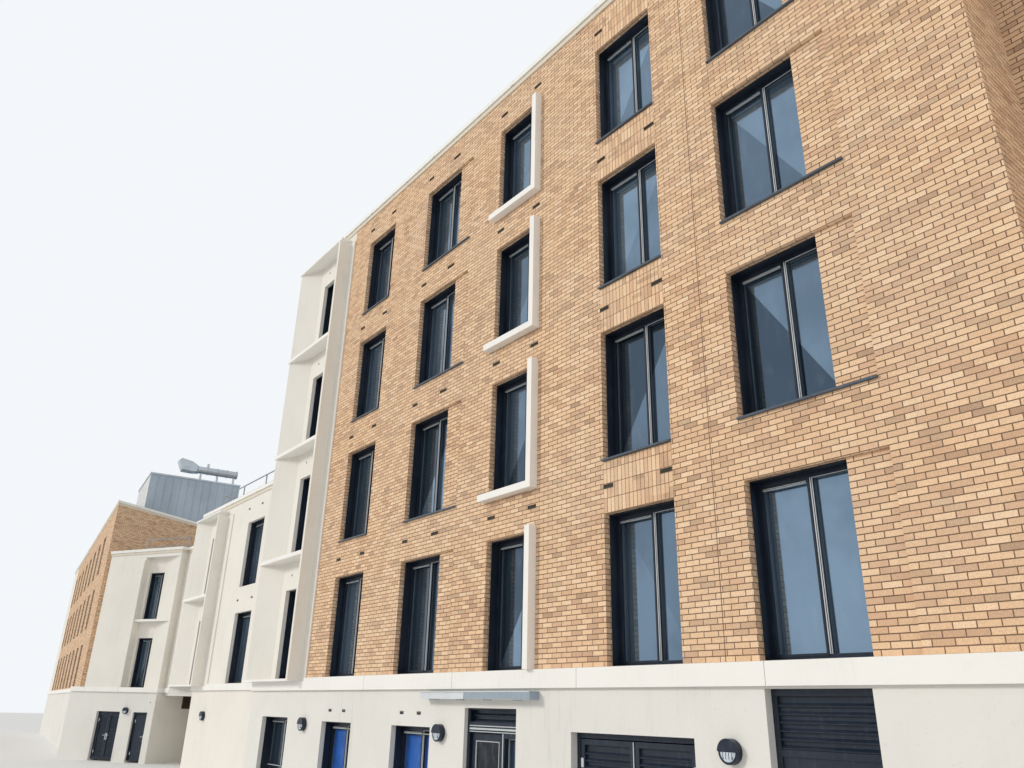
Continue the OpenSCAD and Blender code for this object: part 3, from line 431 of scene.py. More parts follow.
nodeFinishes = {
    "frontBrick": ["main_front", "main_right_side", "main_back"],
    "farBrick": ["far_front", "far_side", "far_back"],
    "mainCoping": ["main_coping"], "lowCoping": ["low_coping"], "farCoping": ["far_coping"],
    "roofDeck": ["ground_slabs", "main_floors", "far_floors"], "paleDeck": ["low_floors"],
    "upperGlass": ["main_glass", "outer_glass"], "doorGlass": ["entrance_pane"],
    "whiteTrimAndPaintedLight": ["string_course", "window_surrounds", "tower_ledges", "low_ledges"],
    "groundRender": ["ground_front_left", "ground_front_right", "door_lintels",
                     "ground_sides", "far_ground", "wing_ground"],
    "canopyPale": ["entrance_canopy"], "sillMetal": ["window_sills"],
    "plantSheet": ["plant_room"], "ductSilver": ["plant_duct"], "railMetal": ["guard_rails"],
    "navyDoor": ["entrance_door", "plant_door_left", "plant_door_right", "wing_door",
                 "wing_leaf_left", "wing_leaf_right", "wall_louvres"],
}


def finishNodes():
    chosen = {name: key for key, names in nodeFinishes.items() for name in names}
    for name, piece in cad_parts.items():
        isFrame = any(word in name for word in ("window", "frame", "lights"))
        finish = finishes[chosen.get(name, "navyFrame" if isFrame else "whiteRender")]
        if not piece.material_slots:
            piece.data.materials.append(finish)
        for holder in piece.material_slots:
            holder.material = finish


# Places on the walls, in millimetres: u to the right, out towards the viewer

mm = 1000.0
block = {"x": 4007.5, "y": 3250.0, "width": 8015, "depth": 6500, "ground": 1500,
         "storey": 1500, "storeys": 4, "top": 9000, "end": 9615, "towerEnd": -1585,
         "back": 11200, "setBack": 550}
linkPlace = {"back": 575, "storeys": 2}
wingPlace = {"x": -10678, "y": 1311, "width": 2290, "turn": 28.5}
farPlace = {"x": -14302, "y": 432, "width": 15400, "turn": -7.0, "lift": 40, "storeys": 3}


class Wall:
    def __init__(self, x, y, turn):
        self.x, self.y, self.turn = x, y, turn
        self.c, self.s = math.cos(math.radians(turn)), math.sin(math.radians(turn))

    def spot(self, u, out):
        return self.x + u * self.c + out * self.s, self.y + u * self.s - out * self.c

    def at(self, u, out, z):
        x, y = self.spot(u, out)
        return (x - block["x"]) / mm, (y - block["y"]) / mm, z / mm

    def inner(self, u, out, turn):
        return Wall(*self.spot(u, out), self.turn + turn)


def endedAt(place):
    a = math.radians(place["turn"])
    return Wall(place["x"] - place["width"] * math.cos(a),
                place["y"] - place["width"] * math.sin(a), place["turn"])


front = Wall(0, 0, 0)
back = Wall(block["end"], block["depth"], 180)
wing = endedAt(wingPlace)
far = endedAt(farPlace)
rng = random.Random(41)


# One mesh made of many small parts, each with its own finish
class Piece:
    def __init__(self):
        self.verts, self.faces, self.looks = [], [], []

    def block(self, wall, u0, u1, out0, out1, z0, z1, look=0, hollow=False):
        n = len(self.verts)
        self.verts += [wall.at(u, o, z) for z in (z0, z1)
                       for u, o in ((u0, out0), (u1, out0), (u1, out1), (u0, out1))]
        faces = [(3, 2, 6, 7), (0, 3, 7, 4), (2, 1, 5, 6), (0, 1, 2, 3), (7, 6, 5, 4)]
        if not hollow:
            faces.append((1, 0, 4, 5))
        self.faces += [tuple(n + k for k in f) for f in faces]
        self.looks += [look] * len(faces)

    def bars(self, wall, u0, u1, z0, z1, width, out0, out1, look=0):
        self.block(wall, u0, u1, out0, out1, z0, z0 + width, look)
        self.block(wall, u0, u1, out0, out1, z1 - width, z1, look)
        self.block(wall, u0, u0 + width, out0, out1, z0 + width, z1 - width, look)
        self.block(wall, u1 - width, u1, out0, out1, z0 + width, z1 - width, look)

    def slab(self, wall, outline, out0, out1, look=0):
        n, count = len(self.verts), len(outline)
        self.verts += [wall.at(u, o, z) for o in (out1, out0) for u, z in outline]
        self.faces.append(tuple(n + k for k in range(count)))
        self.faces.append(tuple(n + count + k for k in reversed(range(count))))
        self.faces += [(n + k, n + count + k, n + count + (k + 1) % count, n + (k + 1) % count)
                       for k in range(count)]
        self.looks += [look] * (count + 2)

    def disc(self, wall, u, z, radius, out0, out1, look=0, start=0, end=360, steps=20):
        turns = [math.radians(start + (end - start) * k / steps)
                 for k in range(steps + (end - start < 360))]
        self.slab(wall, [(u + radius * math.cos(a), z + radius * math.sin(a)) for a in turns],
                  out0, out1, look)

    def pipe(self, a, b, radius, look=0, sides=8):
        a, b = Vector(a), Vector(b)
        along = (b - a).normalized()
        side = along.orthogonal().normalized()
        up = along.cross(side)
        n = len(self.verts)
        turns = [math.tau * k / sides for k in range(sides)]
        ring = [side * math.cos(t) + up * math.sin(t) for t in turns]
        self.verts += [tuple(end + radius * r) for end in (a, b) for r in ring]
        self.faces += [(n + k, n + (k + 1) % sides, n + sides + (k + 1) % sides, n + sides + k)
                       for k in range(sides)]
        self.faces.append(tuple(n + k for k in reversed(range(sides))))
        self.faces.append(tuple(n + sides + k for k in range(sides)))
        self.looks += [look] * (sides + 2)

    # A rim with sloping blades in front of a plate; a near-black plate is painted shade for the
    # vent's hollow
    def grille(self, wall, u0, u1, z0, z1, out, deep, rim, pitch, look=0, dark=1):
        plate, lip, room = deep * 0.2, deep * 0.9, pitch * 0.9
        self.bars(wall, u0, u1, z0, z1, rim, out, out + deep, look)
        self.block(wall, u0 + rim, u1 - rim, out, out + plate, z0 + rim, z1 - rim, dark)
        z = z0 + rim
        while z + room < z1 - rim:
            self.blade(wall, u0 + rim, u1 - rim, z, out + plate, out + lip, pitch, look)
            z += pitch

    def blade(self, wall, u0, u1, z, out0, out1, pitch, look=0):
        n = len(self.verts)
        rise, thick = pitch * 0.55, pitch * 0.22
        profile = [(out0, z + rise), (out1, z), (out1, z + thick), (out0, z + rise + thick)]
        self.verts += [wall.at(u, o, h) for u in (u0, u1) for o, h in profile]
        self.faces += [(n, n + 3, n + 2, n + 1), (n + 4, n + 5, n + 6, n + 7)]
        self.faces += [(n + k, n + (k + 1) % 4, n + 4 + (k + 1) % 4, n + 4 + k)
                       for k in range(4)]
        self.looks += [look] * 6

    # A thin sheet with a wrinkled face, closed at its back and rim
    def film(self, wall, u0, u1, z0, z1, out, thin, wrinkle, look=0, cols=8, rows=12):
        n, count, wide = len(self.verts), (cols + 1) * (rows + 1), cols + 1
        for isFace in (True, False):
            for j in range(rows + 1):
                for i in range(wide):
                    lift = out + thin + wrinkle * rng.random() if isFace else out
                    self.verts.append(wall.at(u0 + (u1 - u0) * i / cols, lift,
                                              z0 + (z1 - z0) * j / rows))
        for j in range(rows):
            for i in range(cols):
                a = n + j * wide + i
                self.faces.append((a, a + 1, a + wide + 1, a + wide))
                self.faces.append(tuple(count + k for k in (a, a + wide, a + wide + 1, a + 1)))
        rim = [n + i for i in range(wide)]
        rim += [n + j * wide + cols for j in range(1, rows + 1)]
        rim += [n + rows * wide + i for i in reversed(range(cols))]
        rim += [n + j * wide for j in reversed(range(1, rows))]
        for k, a in enumerate(rim):
            b = rim[(k + 1) % len(rim)]
            self.faces.append((a, a + count, b + count, b))
        self.looks += [look] * (2 * cols * rows + len(rim))

    def build(self, name, looks, slot, body="building"):
        mesh = bpy.data.meshes.new(name)
        mesh.from_pydata(self.verts, [], self.faces)
        for look in looks:
            mesh.materials.append(finishes[look])
        mesh.polygons.foreach_set("material_index", self.looks)
        mesh.update()
        piece = bpy.data.objects.new(name, mesh)
        bpy.context.collection.objects.link(piece)
        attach(piece, body)
        return piece


# Window openings, as the CAD has them: each hole is x, foot, width, height

windows = {
    "columns": [481, 1967, 3453, 4939, 6204], "width": 685, "height": 1082, "foot": 34,
    "infill": 272, "infillDepth": 26, "lining": 9, "bar": 26, "depth": 128,
    "paneDepth": 160, "mullionAt": 0.55,
}
windowColumns = {
    "tower": {"x": -1045, "width": 450, "back": 50},
    "link": {"x": -4335, "width": 720, "back": 575},
    "linkBay": {"x": -6220, "width": 450, "back": 600},
    "wing": {"x": 1236, "width": 464, "back": 150},
}
backRow = {"count": 6, "length": 11200}
farRow = {"count": 8, "last": 12785, "pitch": 1500}


def feet(count, lift=0):
    return [block["ground"] + lift + block["storey"] * i + windows["foot"]
            for i in range(count)]


def column(x, width, count, lift=0):
    return [(x, z, width, windows["height"]) for z in feet(count, lift)]


def namedColumn(wall, name, count):
    spec = windowColumns[name]
    return wall, column(spec["x"], spec["width"], count), spec["back"]


backPitch = backRow["length"] / backRow["count"]
mainHoles = [h for x in windows["columns"]
             for h in column(x, windows["width"], block["storeys"])]
backHoles = [h for i in range(backRow["count"])
             for h in column((i + 0.5) * backPitch - windows["width"] / 2, windows["width"],
                             block["storeys"])]
farHoles = [h for i in range(farRow["count"])
            for h in column(farRow["last"] - farRow["pitch"] * i, windows["width"],
                            farPlace["storeys"], farPlace["lift"])]
groundHoles = [(515, 425, 675, 660), (2015, 425, 675, 660)]
underHole = (-1160, 40, 760, 1065)
windowRows = {
    "mainWindowTrim": [(front, mainHoles, 0)],
    "groundWindowTrim": [(front, groundHoles, 0), (front, [underHole], 0)],
    "towerWindowTrim": [namedColumn(front, "tower", block["storeys"])],
    "linkWindowTrim": [namedColumn(front, "link", linkPlace["storeys"]),
                       namedColumn(front, "linkBay", linkPlace["storeys"]),
                       namedColumn(wing, "wing", linkPlace["storeys"])],
    "backWindowTrim": [(back, backHoles, 0)],
    "farWindowTrim": [(far, farHoles, 0)],
}

# Brick slips on the street front and its return, in stretcher bond

brickLay = {"least": 5.0, "first": 1534.0, "last": 7550.0, "bedded": 1.0,
            "infillColumns": (1, 4), "returnLap": 34, "bay": 1600,
            "movementJoint": 5960, "movementWide": 7, "movementParts": 12,
            "movementOut": 0.6, "movementStep": 0.3}


def bigEnough(rects):
    least = brickLay["least"]
    return [r for r in rects if r[1] - r[0] > least and r[3] - r[2] > least]


def without(rects, hole):
    left = []
    for a, b, c, d in rects:
        if a >= hole[1] or b <= hole[0] or c >= hole[3] or d <= hole[2]:
            left.append((a, b, c, d))
            continue
        left.append((a, hole[0], c, d))
        left.append((hole[1], b, c, d))
        left.append((max(a, hole[0]), min(b, hole[1]), c, hole[2]))
        left.append((max(a, hole[0]), min(b, hole[1]), hole[3], d))
    return bigEnough(left)


def layBricks(piece, wall, u0, u1, z0, z1, holes, start):
    wide, high, half = brick["width"] * mm, brick["height"] * mm, brick["joint"] * mm / 2
    base = brick["startV"] * mm
    row = math.floor((z0 - base) / high)
    while row * high + base < z1:
        low = row * high + base
        near = [h for h in holes if h[2] < low + high and h[3] > low]
        shift = (row % 2) * brick["shift"]
        col = math.floor((u0 + start) / wide + shift)
        while (col - shift) * wide - start < u1:
            a = (col - shift) * wide - start
            rects = bigEnough([(max(a + half, u0), min(a + wide - half, u1),
                                max(low + half, z0), min(low + high - half, z1))])
            proud = brick["proud"] * mm + rng.uniform(-1, 1) * brick["jitter"] * mm
            for h in near:
                rects = without(rects, h)
            for r in rects:
                piece.block(wall, r[0], r[1], -brickLay["bedded"], proud, r[2], r[3], 0,
                            hollow=True)
            col += 1
        row += 1


def soldierSpots():
    for z in feet(block["storeys"]):
        sill = z + block["storey"] - soldiers["sillGap"]
        yield windows["columns"][3], z + windows["height"], min(sill, brickLay["last"])


def frontBricks():
    first, last = brickLay["first"], brickLay["last"]
    holes = [(x, x + w, z, z + h) for x, z, w, h in mainHoles]
    infills = [(windows["columns"][c] + windows["width"], z)
               for c in brickLay["infillColumns"] for z in feet(block["storeys"])]
    holes += [(x, x + windows["infill"], z, z + windows["height"]) for x, z in infills]
    holes += [(x, x + windows["width"], z0, z1) for x, z0, z1 in soldierSpots()]
    joint, half = brickLay["movementJoint"], brickLay["movementWide"] / 2
    holes.append((joint - half, joint + half, 0, block["top"]))
    slips = Piece()
    layBricks(slips, front, 0, block["width"], first, last, holes, -block["x"])
    for x, z in infills:
        panel = front.inner(x, -windows["infillDepth"], 0)
        layBricks(slips, panel, 0, windows["infill"], z, z + windows["height"], [],
                  x - block["x"])
    slips.build("frontBricks", ["frontBrick"], "brick")
    side = Piece()
    layBricks(side, front.inner(block["width"], 0, 90), brickLay["returnLap"],
              block["setBack"], first, last, [], -block["y"])
    layBricks(side, front.inner(block["width"], -block["setBack"], 0), 0, brickLay["bay"],
              block["ground"], last, [], block["x"])
    side.build("returnBricks", ["frontBrick"], "brick")


soldiers = {"across": 18, "rows": 4, "high": 112.5, "sillGap": 14, "bed": 0.4, "jitter": 0.4}


# Upright bricks between the windows of the fourth column, and the movement joint
def soldierPanels():
    panel = Piece()
    pitch = windows["width"] / soldiers["across"]
    half = brick["joint"] * mm / 2
    for x, z0, z1 in soldierSpots():
        panel.block(front, x, x + windows["width"], 0, soldiers["bed"], z0, z1, 1,
                    hollow=True)
        for row in range(soldiers["rows"]):
            for k in range(soldiers["across"]):
                a, low = x + k * pitch, z0 + row * soldiers["high"]
                proud = brick["proud"] * mm + rng.uniform(-soldiers["jitter"],
                                                          soldiers["jitter"])
                panel.block(front, a + half, a + pitch - half, 0, proud, low + half,
                            min(low + soldiers["high"], z1) - half, 0, hollow=True)
    panel.build("soldierPanels", ["soldierBrick", "mortar"], "brick")
    strip = Piece()
    joint, half = brickLay["movementJoint"], brickLay["movementWide"] / 2
    step = (brickLay["last"] - brickLay["first"]) / brickLay["movementParts"]
    for k in range(brickLay["movementParts"]):
        z = brickLay["first"] + step * k
        out = brickLay["movementOut"] + brickLay["movementStep"] * (k % 2)
        strip.block(front, joint - half, joint + half, -brickLay["bedded"], out, z, z + step, 0)
    strip.build("movementJoint", ["mortar"], "brick")


# Window sashes, beads and trickle vents, with painted highlights on the right pane's top and left
# edges and beside the mullion

sash = {"stile": 15, "lap": 9, "stand": 6, "bead": 3.5, "beadDeep": 12,
        "edge": 4, "edgeDeep": 3,
        "ventIn": 12, "ventHigh": 12, "ventDeep": 9, "ventBack": 8, "ventDown": 14,
        "slotIn": 16, "slotTop": 5, "slotFoot": 8, "slotOut": 2,
        "strip": 3, "stripAside": 4, "stripDeep": 5}


def dressWindow(piece, wall, hole, y):
    x, z, w, h = hole
    edge = windows["lining"] + windows["bar"]
    face, glass = -(y + windows["depth"]), -(y + windows["paneDepth"])
    mullion = x + w * windows["mullionAt"]
    half = windows["bar"] / 2
    z0, z1 = z + edge, z + h - edge
    panes = ((x + edge, mullion - half), (mullion + half, x + w - edge))
    (u0, u1), (a, b) = panes
    lap = sash["lap"]
    piece.bars(wall, u0 - lap, u1 + lap, z0 - lap, z1 + lap, sash["stile"], face,
               face + sash["stand"], 0)
    for left, right in panes:
        piece.bars(wall, left, right, z0, z1, sash["bead"], glass, glass + sash["beadDeep"], 2)
    # Pale strips on the right pane's top and left edges are painted highlights, as if lit from
    # the top left
    rim, deep = sash["edge"], sash["edgeDeep"]
    piece.block(wall, a, b, face - deep, face + deep, z1 - rim, z1, 1)
    piece.block(wall, a, a + rim, face - deep, face + deep, z0, z1 - rim, 1)
    top, vent = z1 - sash["ventDown"], face + sash["ventDeep"]
    piece.block(wall, u0 + sash["ventIn"], u1 - sash["ventIn"], face - sash["ventBack"], vent,
                top - sash["ventHigh"], top, 1)
    piece.block(wall, u0 + sash["slotIn"], u1 - sash["slotIn"], vent, vent + sash["slotOut"],
                top - sash["slotFoot"], top - sash["slotTop"], 0)
    # A pale strip beside the mullion is a painted highlight where the inner jamb catches light
    strip = mullion + sash["stripAside"]
    piece.block(wall, strip - sash["strip"], strip + sash["strip"], face,
                face + sash["stripDeep"], z0, z1, 1)


def windowTrim():
    for name, rows in windowRows.items():
        piece = Piece()
        for wall, holes, y in rows:
            for hole in holes:
                dressWindow(piece, wall, hole, y)
        piece.build(name, ["navyFrame", "paleTrimAndHighlight", "glazingBead"], "navy_metal")


groundTrim = {"inset": 35, "back": -158, "face": -122, "stripOut": 2, "strip": 6,
              "barAt": 1012, "barHigh": 18, "barStrip": 6,
              "railAt": 560, "railHigh": 24, "railStrip": 8,
              "filmIn": 41, "filmBar": 19, "filmFoot": 42, "filmHead": 6, "filmOut": -159,
              "filmThin": 0.6, "wrinkle": 3.5}


def crossBar(piece, hole, kind):
    u0, u1 = hole[0] + groundTrim["inset"], hole[0] + hole[2] - groundTrim["inset"]
    z, face = groundTrim[kind + "At"], groundTrim["face"]
    strip = z + groundTrim[kind + "Strip"]
    piece.block(front, u0, u1, groundTrim["back"], face, z, z + groundTrim[kind + "High"], 0)
    piece.block(front, u0, u1, face, face + groundTrim["stripOut"], strip,
                strip + groundTrim["strip"], 1)


def groundWindows():
    bars = Piece()
    for hole in groundHoles:
        crossBar(bars, hole, "bar")
    crossBar(bars, underHole, "rail")
    bars.build("groundWindowBars", ["navyFrame", "paleTrimAndHighlight"], "navy_metal")
    sheets = Piece()
    for (x, z, w, h), sides in zip(groundHoles, ((0,), (0, 1))):
        mid = x + w * windows["mullionAt"]
        spans = ((x + groundTrim["filmIn"], mid - groundTrim["filmBar"]),
                 (mid + groundTrim["filmBar"], x + w - groundTrim["filmIn"]))
        for k in sides:
            sheets.film(front, *spans[k], z + groundTrim["filmFoot"],
                        groundTrim["barAt"] - groundTrim["filmHead"], groundTrim["filmOut"],
                        groundTrim["filmThin"], groundTrim["wrinkle"])
    sheets.build("windowFilm", ["blueFilm"], "glass")


# Vents: slots in the brick, small grilles and round outlets in the white walls. The near-black
# plates behind the blades, the small grilles and the round centres are painted shade for the
# openings.

vents = {
    "slots": [(465, 565), (1040, 1140), (1965, 2065), (2515, 2640), (3455, 3555),
              (4025, 4130), (4940, 5040), (5515, 5620)],
    "slotFoot": 2804, "slotHigh": 31, "slotOut": 1.3, "slotDeep": 4.5, "slotPitch": 7,
    "small": [(692, 0, 1198), (1010, 0, 1198), (2191, 0, 1198), (2493, 0, 1198),
              (-4384, 575, 4365), (-3798, 575, 4365), (-4307, 575, 2820), (-3686, 575, 2820)],
    "smallWide": 60, "smallHigh": 26, "smallDeep": 5, "smallPitch": 6, "rim": 3,
    "round": [(-910, 50, 7300), (-910, 50, 5800), (-910, 50, 4325), (-910, 50, 2800)],
    "roundRadius": 15, "roundDeep": 5, "capPart": 0.62, "capOut": 1.5,
    "wing": (2145, 1225), "wingRadius": 16, "wingCap": 10, "wingDeep": 6,
    "brown": (790, 1090, 1110, 1372), "brownRim": 14, "brownPitch": 22,
}


def wallVents():
    slots = Piece()
    for i in range(block["storeys"]):
        z = vents["slotFoot"] + block["storey"] * i
        for u0, u1 in vents["slots"]:
            slots.grille(front, u0, u1, z, z + vents["slotHigh"], vents["slotOut"],
                         vents["slotDeep"], vents["rim"], vents["slotPitch"])
    slots.build("brickVents", ["ventFace", "paintedShadeDark"], "navy_metal")
    small = Piece()
    w, h, cap = vents["smallWide"] / 2, vents["smallHigh"] / 2, vents["capOut"]
    for u, y, z in vents["small"]:
        small.grille(front, u - w, u + w, z - h, z + h, -y, vents["smallDeep"], vents["rim"],
                     vents["smallPitch"])
    for u, y, z in vents["round"]:
        r, out = vents["roundRadius"], vents["roundDeep"] - y
        small.disc(front, u, z, r, -y, out, 1)
        # The near-black centre is painted shade for the outlet's opening
        small.disc(front, u, z, r * vents["capPart"], out, out + cap, 0)
    u, z = vents["wing"]
    small.disc(wing, u, z, vents["wingRadius"], 0, vents["wingDeep"], 1)
    small.disc(wing, u, z, vents["wingCap"], vents["wingDeep"], vents["wingDeep"] + cap, 0)
    small.build("smallVents", ["paintedShadeDark", "paleTrimAndHighlight"], "navy_metal")
    brown = Piece()
    brown.grille(wing.inner(wingPlace["width"], 0, 90), *vents["brown"], 0, vents["brownRim"],
                 vents["brownRim"], vents["brownPitch"])
    brown.build("brownGrille", ["brownGrille", "paintedShadeDark"], "navy_metal")


# Joints in the white string course as near-black strips of painted shadow, and straps over the
# copings' seams

bands = {"wide": 2, "out": 34, "thick": 0.5, "foot": 1400, "lowFoot": 1435, "head": 1533.5,
         "pitch": 1600, "first": 1450, "link": (-4100, -3000, -2050), "wing": (60, 1135)}


def bandJoints():
    joints = Piece()

    # Each joint is a near-black strip, painted shadow for the groove
    def joint(wall, u, back, foot):
        out = bands["out"] - back
        joints.block(wall, u, u + bands["wide"], out, out + bands["thick"], foot,
                     bands["head"], 0)

    u = bands["first"]
    while u < block["width"]:
        joint(front, u, 0, bands["foot"])
        u += bands["pitch"]
    for u in bands["link"]:
        joint(front, u, linkPlace["back"], bands["lowFoot"])
    for u in bands["wing"]:
        joint(wing, u, 0, bands["lowFoot"])
    joints.build("bandJoints", ["paintedShadeDark"], "white_render")


straps = {"wide": 46, "face": 30, "behind": 4, "out": 2.0, "down": 50, "up": 12, "thick": 2,
          "back": -205, "pitch": 1600,
          "mainTop": 7660, "streetFirst": 420, "sideFirst": 500,
          "streetLength": 9600, "rightLength": 5900, "leftLength": 6400,
          "lowTop": 4660, "link": (-6500, -5300, -4100, -2900), "wing": (300, 1500),
          "farTop": 6290, "farFirst": 700, "farPitch": 1300, "farCount": 11}


def layStrap(piece, wall, u, z):
    u1, out, cap = u + straps["wide"], straps["face"] + straps["out"], z + straps["up"]
    piece.block(wall, u, u1, straps["face"] - straps["behind"], out, z - straps["down"], cap)
    piece.block(wall, u, u1, straps["back"], out, cap, cap + straps["thick"])


def copingStraps():
    main, low, distant = Piece(), Piece(), Piece()
    left = block["towerEnd"]
    runs = ((front.inner(left, 0, 0), straps["streetFirst"], straps["streetLength"]),
            (back, straps["streetFirst"], block["back"]),
            (front.inner(block["end"], -block["setBack"], 90), straps["sideFirst"],
             straps["rightLength"]),
            (front.inner(left, -block["depth"], -90), straps["sideFirst"],
             straps["leftLength"]))
    for wall, first, length in runs:
        for k in range(int(length / straps["pitch"])):
            layStrap(main, wall, first + k * straps["pitch"], straps["mainTop"])
    main.build("mainCopingStraps", ["mainCoping"], "white_metal")
    for u in straps["link"]:
        layStrap(low, front.inner(u, -linkPlace["back"], 0), 0, straps["lowTop"])
    for u in straps["wing"]:
        layStrap(low, wing, u, straps["lowTop"])
    low.build("lowCopingStraps", ["lowCoping"], "white_metal")
    for k in range(straps["farCount"]):
        layStrap(distant, far, straps["farFirst"] + k * straps["farPitch"], straps["farTop"])
    distant.build("farCopingStraps", ["farCoping"], "white_metal")


# Lenses of the round wall lights: half a bulging disc behind four guard bars

lights = {"height": 1045, "drop": 3, "radius": 53, "ring": 5, "face": 45, "behind": 1,
          "lip": 1.5, "bulges": (0, 2.2, 4.0, 5.2), "steps": 18,
          "guards": (-0.6, -0.2, 0.2, 0.6), "guardHalf": 1.5, "guardOut": 8,
          "guardLow": 0.7, "guardTop": 4,
          "front": [67, 2868, 5960], "link": -5106, "wing": 1468}


def lightLenses():
    lens = Piece()
    spots = [(front, u, 0) for u in lights["front"]]
    spots += [(front, lights["link"], linkPlace["back"]), (wing, lights["wing"], 0)]
    z = lights["height"] - lights["drop"]
    for wall, u, y in spots:
        face = lights["face"] - y
        for k, bulge in enumerate(lights["bulges"]):
            lens.disc(wall, u, z, lights["radius"] - lights["ring"] * k,
                      face - lights["behind"], face + lights["lip"] + bulge, 0, 180, 360,
                      lights["steps"])
        for part in lights["guards"]:
            x = u + part * lights["radius"]
            lens.block(wall, x - lights["guardHalf"], x + lights["guardHalf"], face,
                       face + lights["guardOut"], z - lights["guardLow"] * lights["radius"],
                       lights["height"] - lights["guardTop"], 1)
    lens.build("lightLenses", ["lightLens", "navyFrame"], "navy_metal")


# Door furniture: lever handles, hinge plates and the stile that covers a pair's gap

doors = {"foot": 47, "face": -60, "plateWide": 22, "plateHigh": 130, "plateOut": 3,
         "leverAt": 500, "leverUp": 25, "leverLong": 62, "leverFace": 25, "rose": 2,
         "spindle": 28, "barRadius": 0.0055, "keyDown": 30, "keyRadius": 6,
         "handleIn": 18, "stile": (9, 2), "stileEnd": 4,
         "hingeAt": (0.15, 0.85), "hingeWide": 24, "hingeHalf": 30, "hingeOut": 1.5}
leaves = [
    # name, body, wall, left, right, top, side of the hinge, has a cover stile
    ("plantLeftTrim", "plant_leaf_left", front, 4597, 5114, 1063, -1, True),
    ("plantRightTrim", "plant_leaf_right", front, 5121, 5638, 1063, 1, False),
    ("wingLeftTrim", "wing_pair_left", wing, 605, 920, 978, -1, False),
    ("wingRightTrim", "wing_pair_right", wing, 927, 1242, 978, 1, False),
    ("wingDoorTrim", "wing_single_leaf", wing, 1728, 2068, 978, -1, False),
]


def lever(piece, wall, u, direction):
    face, z, half = doors["face"], doors["leverAt"], doors["plateWide"] / 2
    tall, out, bar = doors["plateHigh"] / 2, doors["plateOut"], z + doors["leverUp"]
    reach = face + doors["leverFace"]
    piece.block(wall, u - half, u + half, face, face + out, z - tall, z + tall, 1)
    piece.pipe(wall.at(u, face + doors["rose"], bar), wall.at(u, face + doors["spindle"], bar),
               doors["barRadius"], 1)
    piece.pipe(wall.at(u, reach, bar), wall.at(u + direction * doors["leverLong"], reach, bar),
               doors["barRadius"], 1)
    piece.disc(wall, u, z - doors["keyDown"], doors["keyRadius"], face + out,
               face + 2 * out, 0)


def doorTrim():
    face, foot = doors["face"], doors["foot"]
    for name, body, wall, u0, u1, top, hinge, hasStile in leaves:
        trim = Piece()
        free = u1 - doors["handleIn"] if hinge < 0 else u0 + doors["handleIn"]
        lever(trim, wall, free, hinge)
        if hasStile:
            outer, inner = doors["stile"]
            trim.block(wall, u1 - outer, u1 - inner, face, face + doors["plateOut"],
                       foot + doors["stileEnd"], top - doors["stileEnd"], 1)
        hold = u0 if hinge < 0 else u1
        plate = sorted((hold, hold - hinge * doors["hingeWide"]))
        for part in doors["hingeAt"]:
            z = foot + (top - foot) * part
            trim.block(wall, *plate, face, face + doors["hingeOut"], z - doors["hingeHalf"],
                       z + doors["hingeHalf"], 1)
        trim.build(name, ["navyDoor", "paleTrimAndHighlight"], "navy_metal", body)


entrance = {"leaf": (3262, 3692), "leafTop": 1058, "stile": 55,
            "face": -36, "raised": 4, "across": (3255, 3885),
            "rails": [(1069, 1075), (1086, 1100), (1112, 1119)],
            "mullion": (3710, 3719), "mullionFoot": 46, "mullionHead": 1066,
            "side": (3736, 3883, 77, 1028), "sideBead": 5, "sideOut": (-48, -40),
            "beadOut": (-8, 2), "bead": 6, "midRail": (420, 436),
            "gripIn": 26, "gripOut": 24, "gripFix": (360, 690), "gripEnds": (340, 710),
            "fixRadius": 0.006, "gripRadius": 0.008,
            "kickIn": 4, "kick": (52, 92), "kickOut": 1.5}


def entranceTrim():
    trim = Piece()
    face, out = entrance["face"], entrance["face"] + entrance["raised"]
    for z0, z1 in entrance["rails"]:
        trim.block(front, *entrance["across"], face, out, z0, z1, 1)
    trim.block(front, *entrance["mullion"], face, out, entrance["mullionFoot"],
               entrance["mullionHead"], 1)
    trim.bars(front, *entrance["side"], entrance["sideBead"],
              *(face + o for o in entrance["sideOut"]), 1)
    trim.build("entranceFrameTrim", ["navyFrame", "paleTrimAndHighlight"], "navy_metal")
    leaf = Piece()
    face, (left, right) = doors["face"], entrance["leaf"]
    u0, u1 = left + entrance["stile"], right - entrance["stile"]
    z0, z1 = doors["foot"] + entrance["stile"], entrance["leafTop"] - entrance["stile"]
    bead = [face + o for o in entrance["beadOut"]]
    leaf.bars(front, u0, u1, z0, z1, entrance["bead"], *bead, 1)
    leaf.block(front, u0, u1, *bead, *entrance["midRail"], 1)
    grip = u1 + entrance["gripIn"]
    for z in entrance["gripFix"]:
        leaf.pipe(front.at(grip, face, z),
                  front.at(grip, face + entrance["gripOut"] + entrance["beadOut"][1], z),
                  entrance["fixRadius"], 1)
    ends = [front.at(grip, face + entrance["gripOut"], z) for z in entrance["gripEnds"]]
    leaf.pipe(*ends, entrance["gripRadius"], 1, 12)
    leaf.block(front, left + entrance["kickIn"], right - entrance["kickIn"], face,
               face + entrance["kickOut"], *entrance["kick"], 1)
    leaf.build("entranceLeafTrim", ["navyDoor", "paleTrimAndHighlight"], "navy_metal", "entrance_leaf")


canopy = {"left": 2640, "split": 3330, "end": 4090, "right": 4190, "foot": 1316,
          "head": 1376, "out": 90, "panelOut": 4, "endOut": 6, "capOut": 7, "cap": 6,
          "panelFoot": 4, "seam": 4, "bracketFirst": 150, "bracketPitch": 390,
          "brackets": 4, "bracketWide": 26, "bracketHigh": 5}


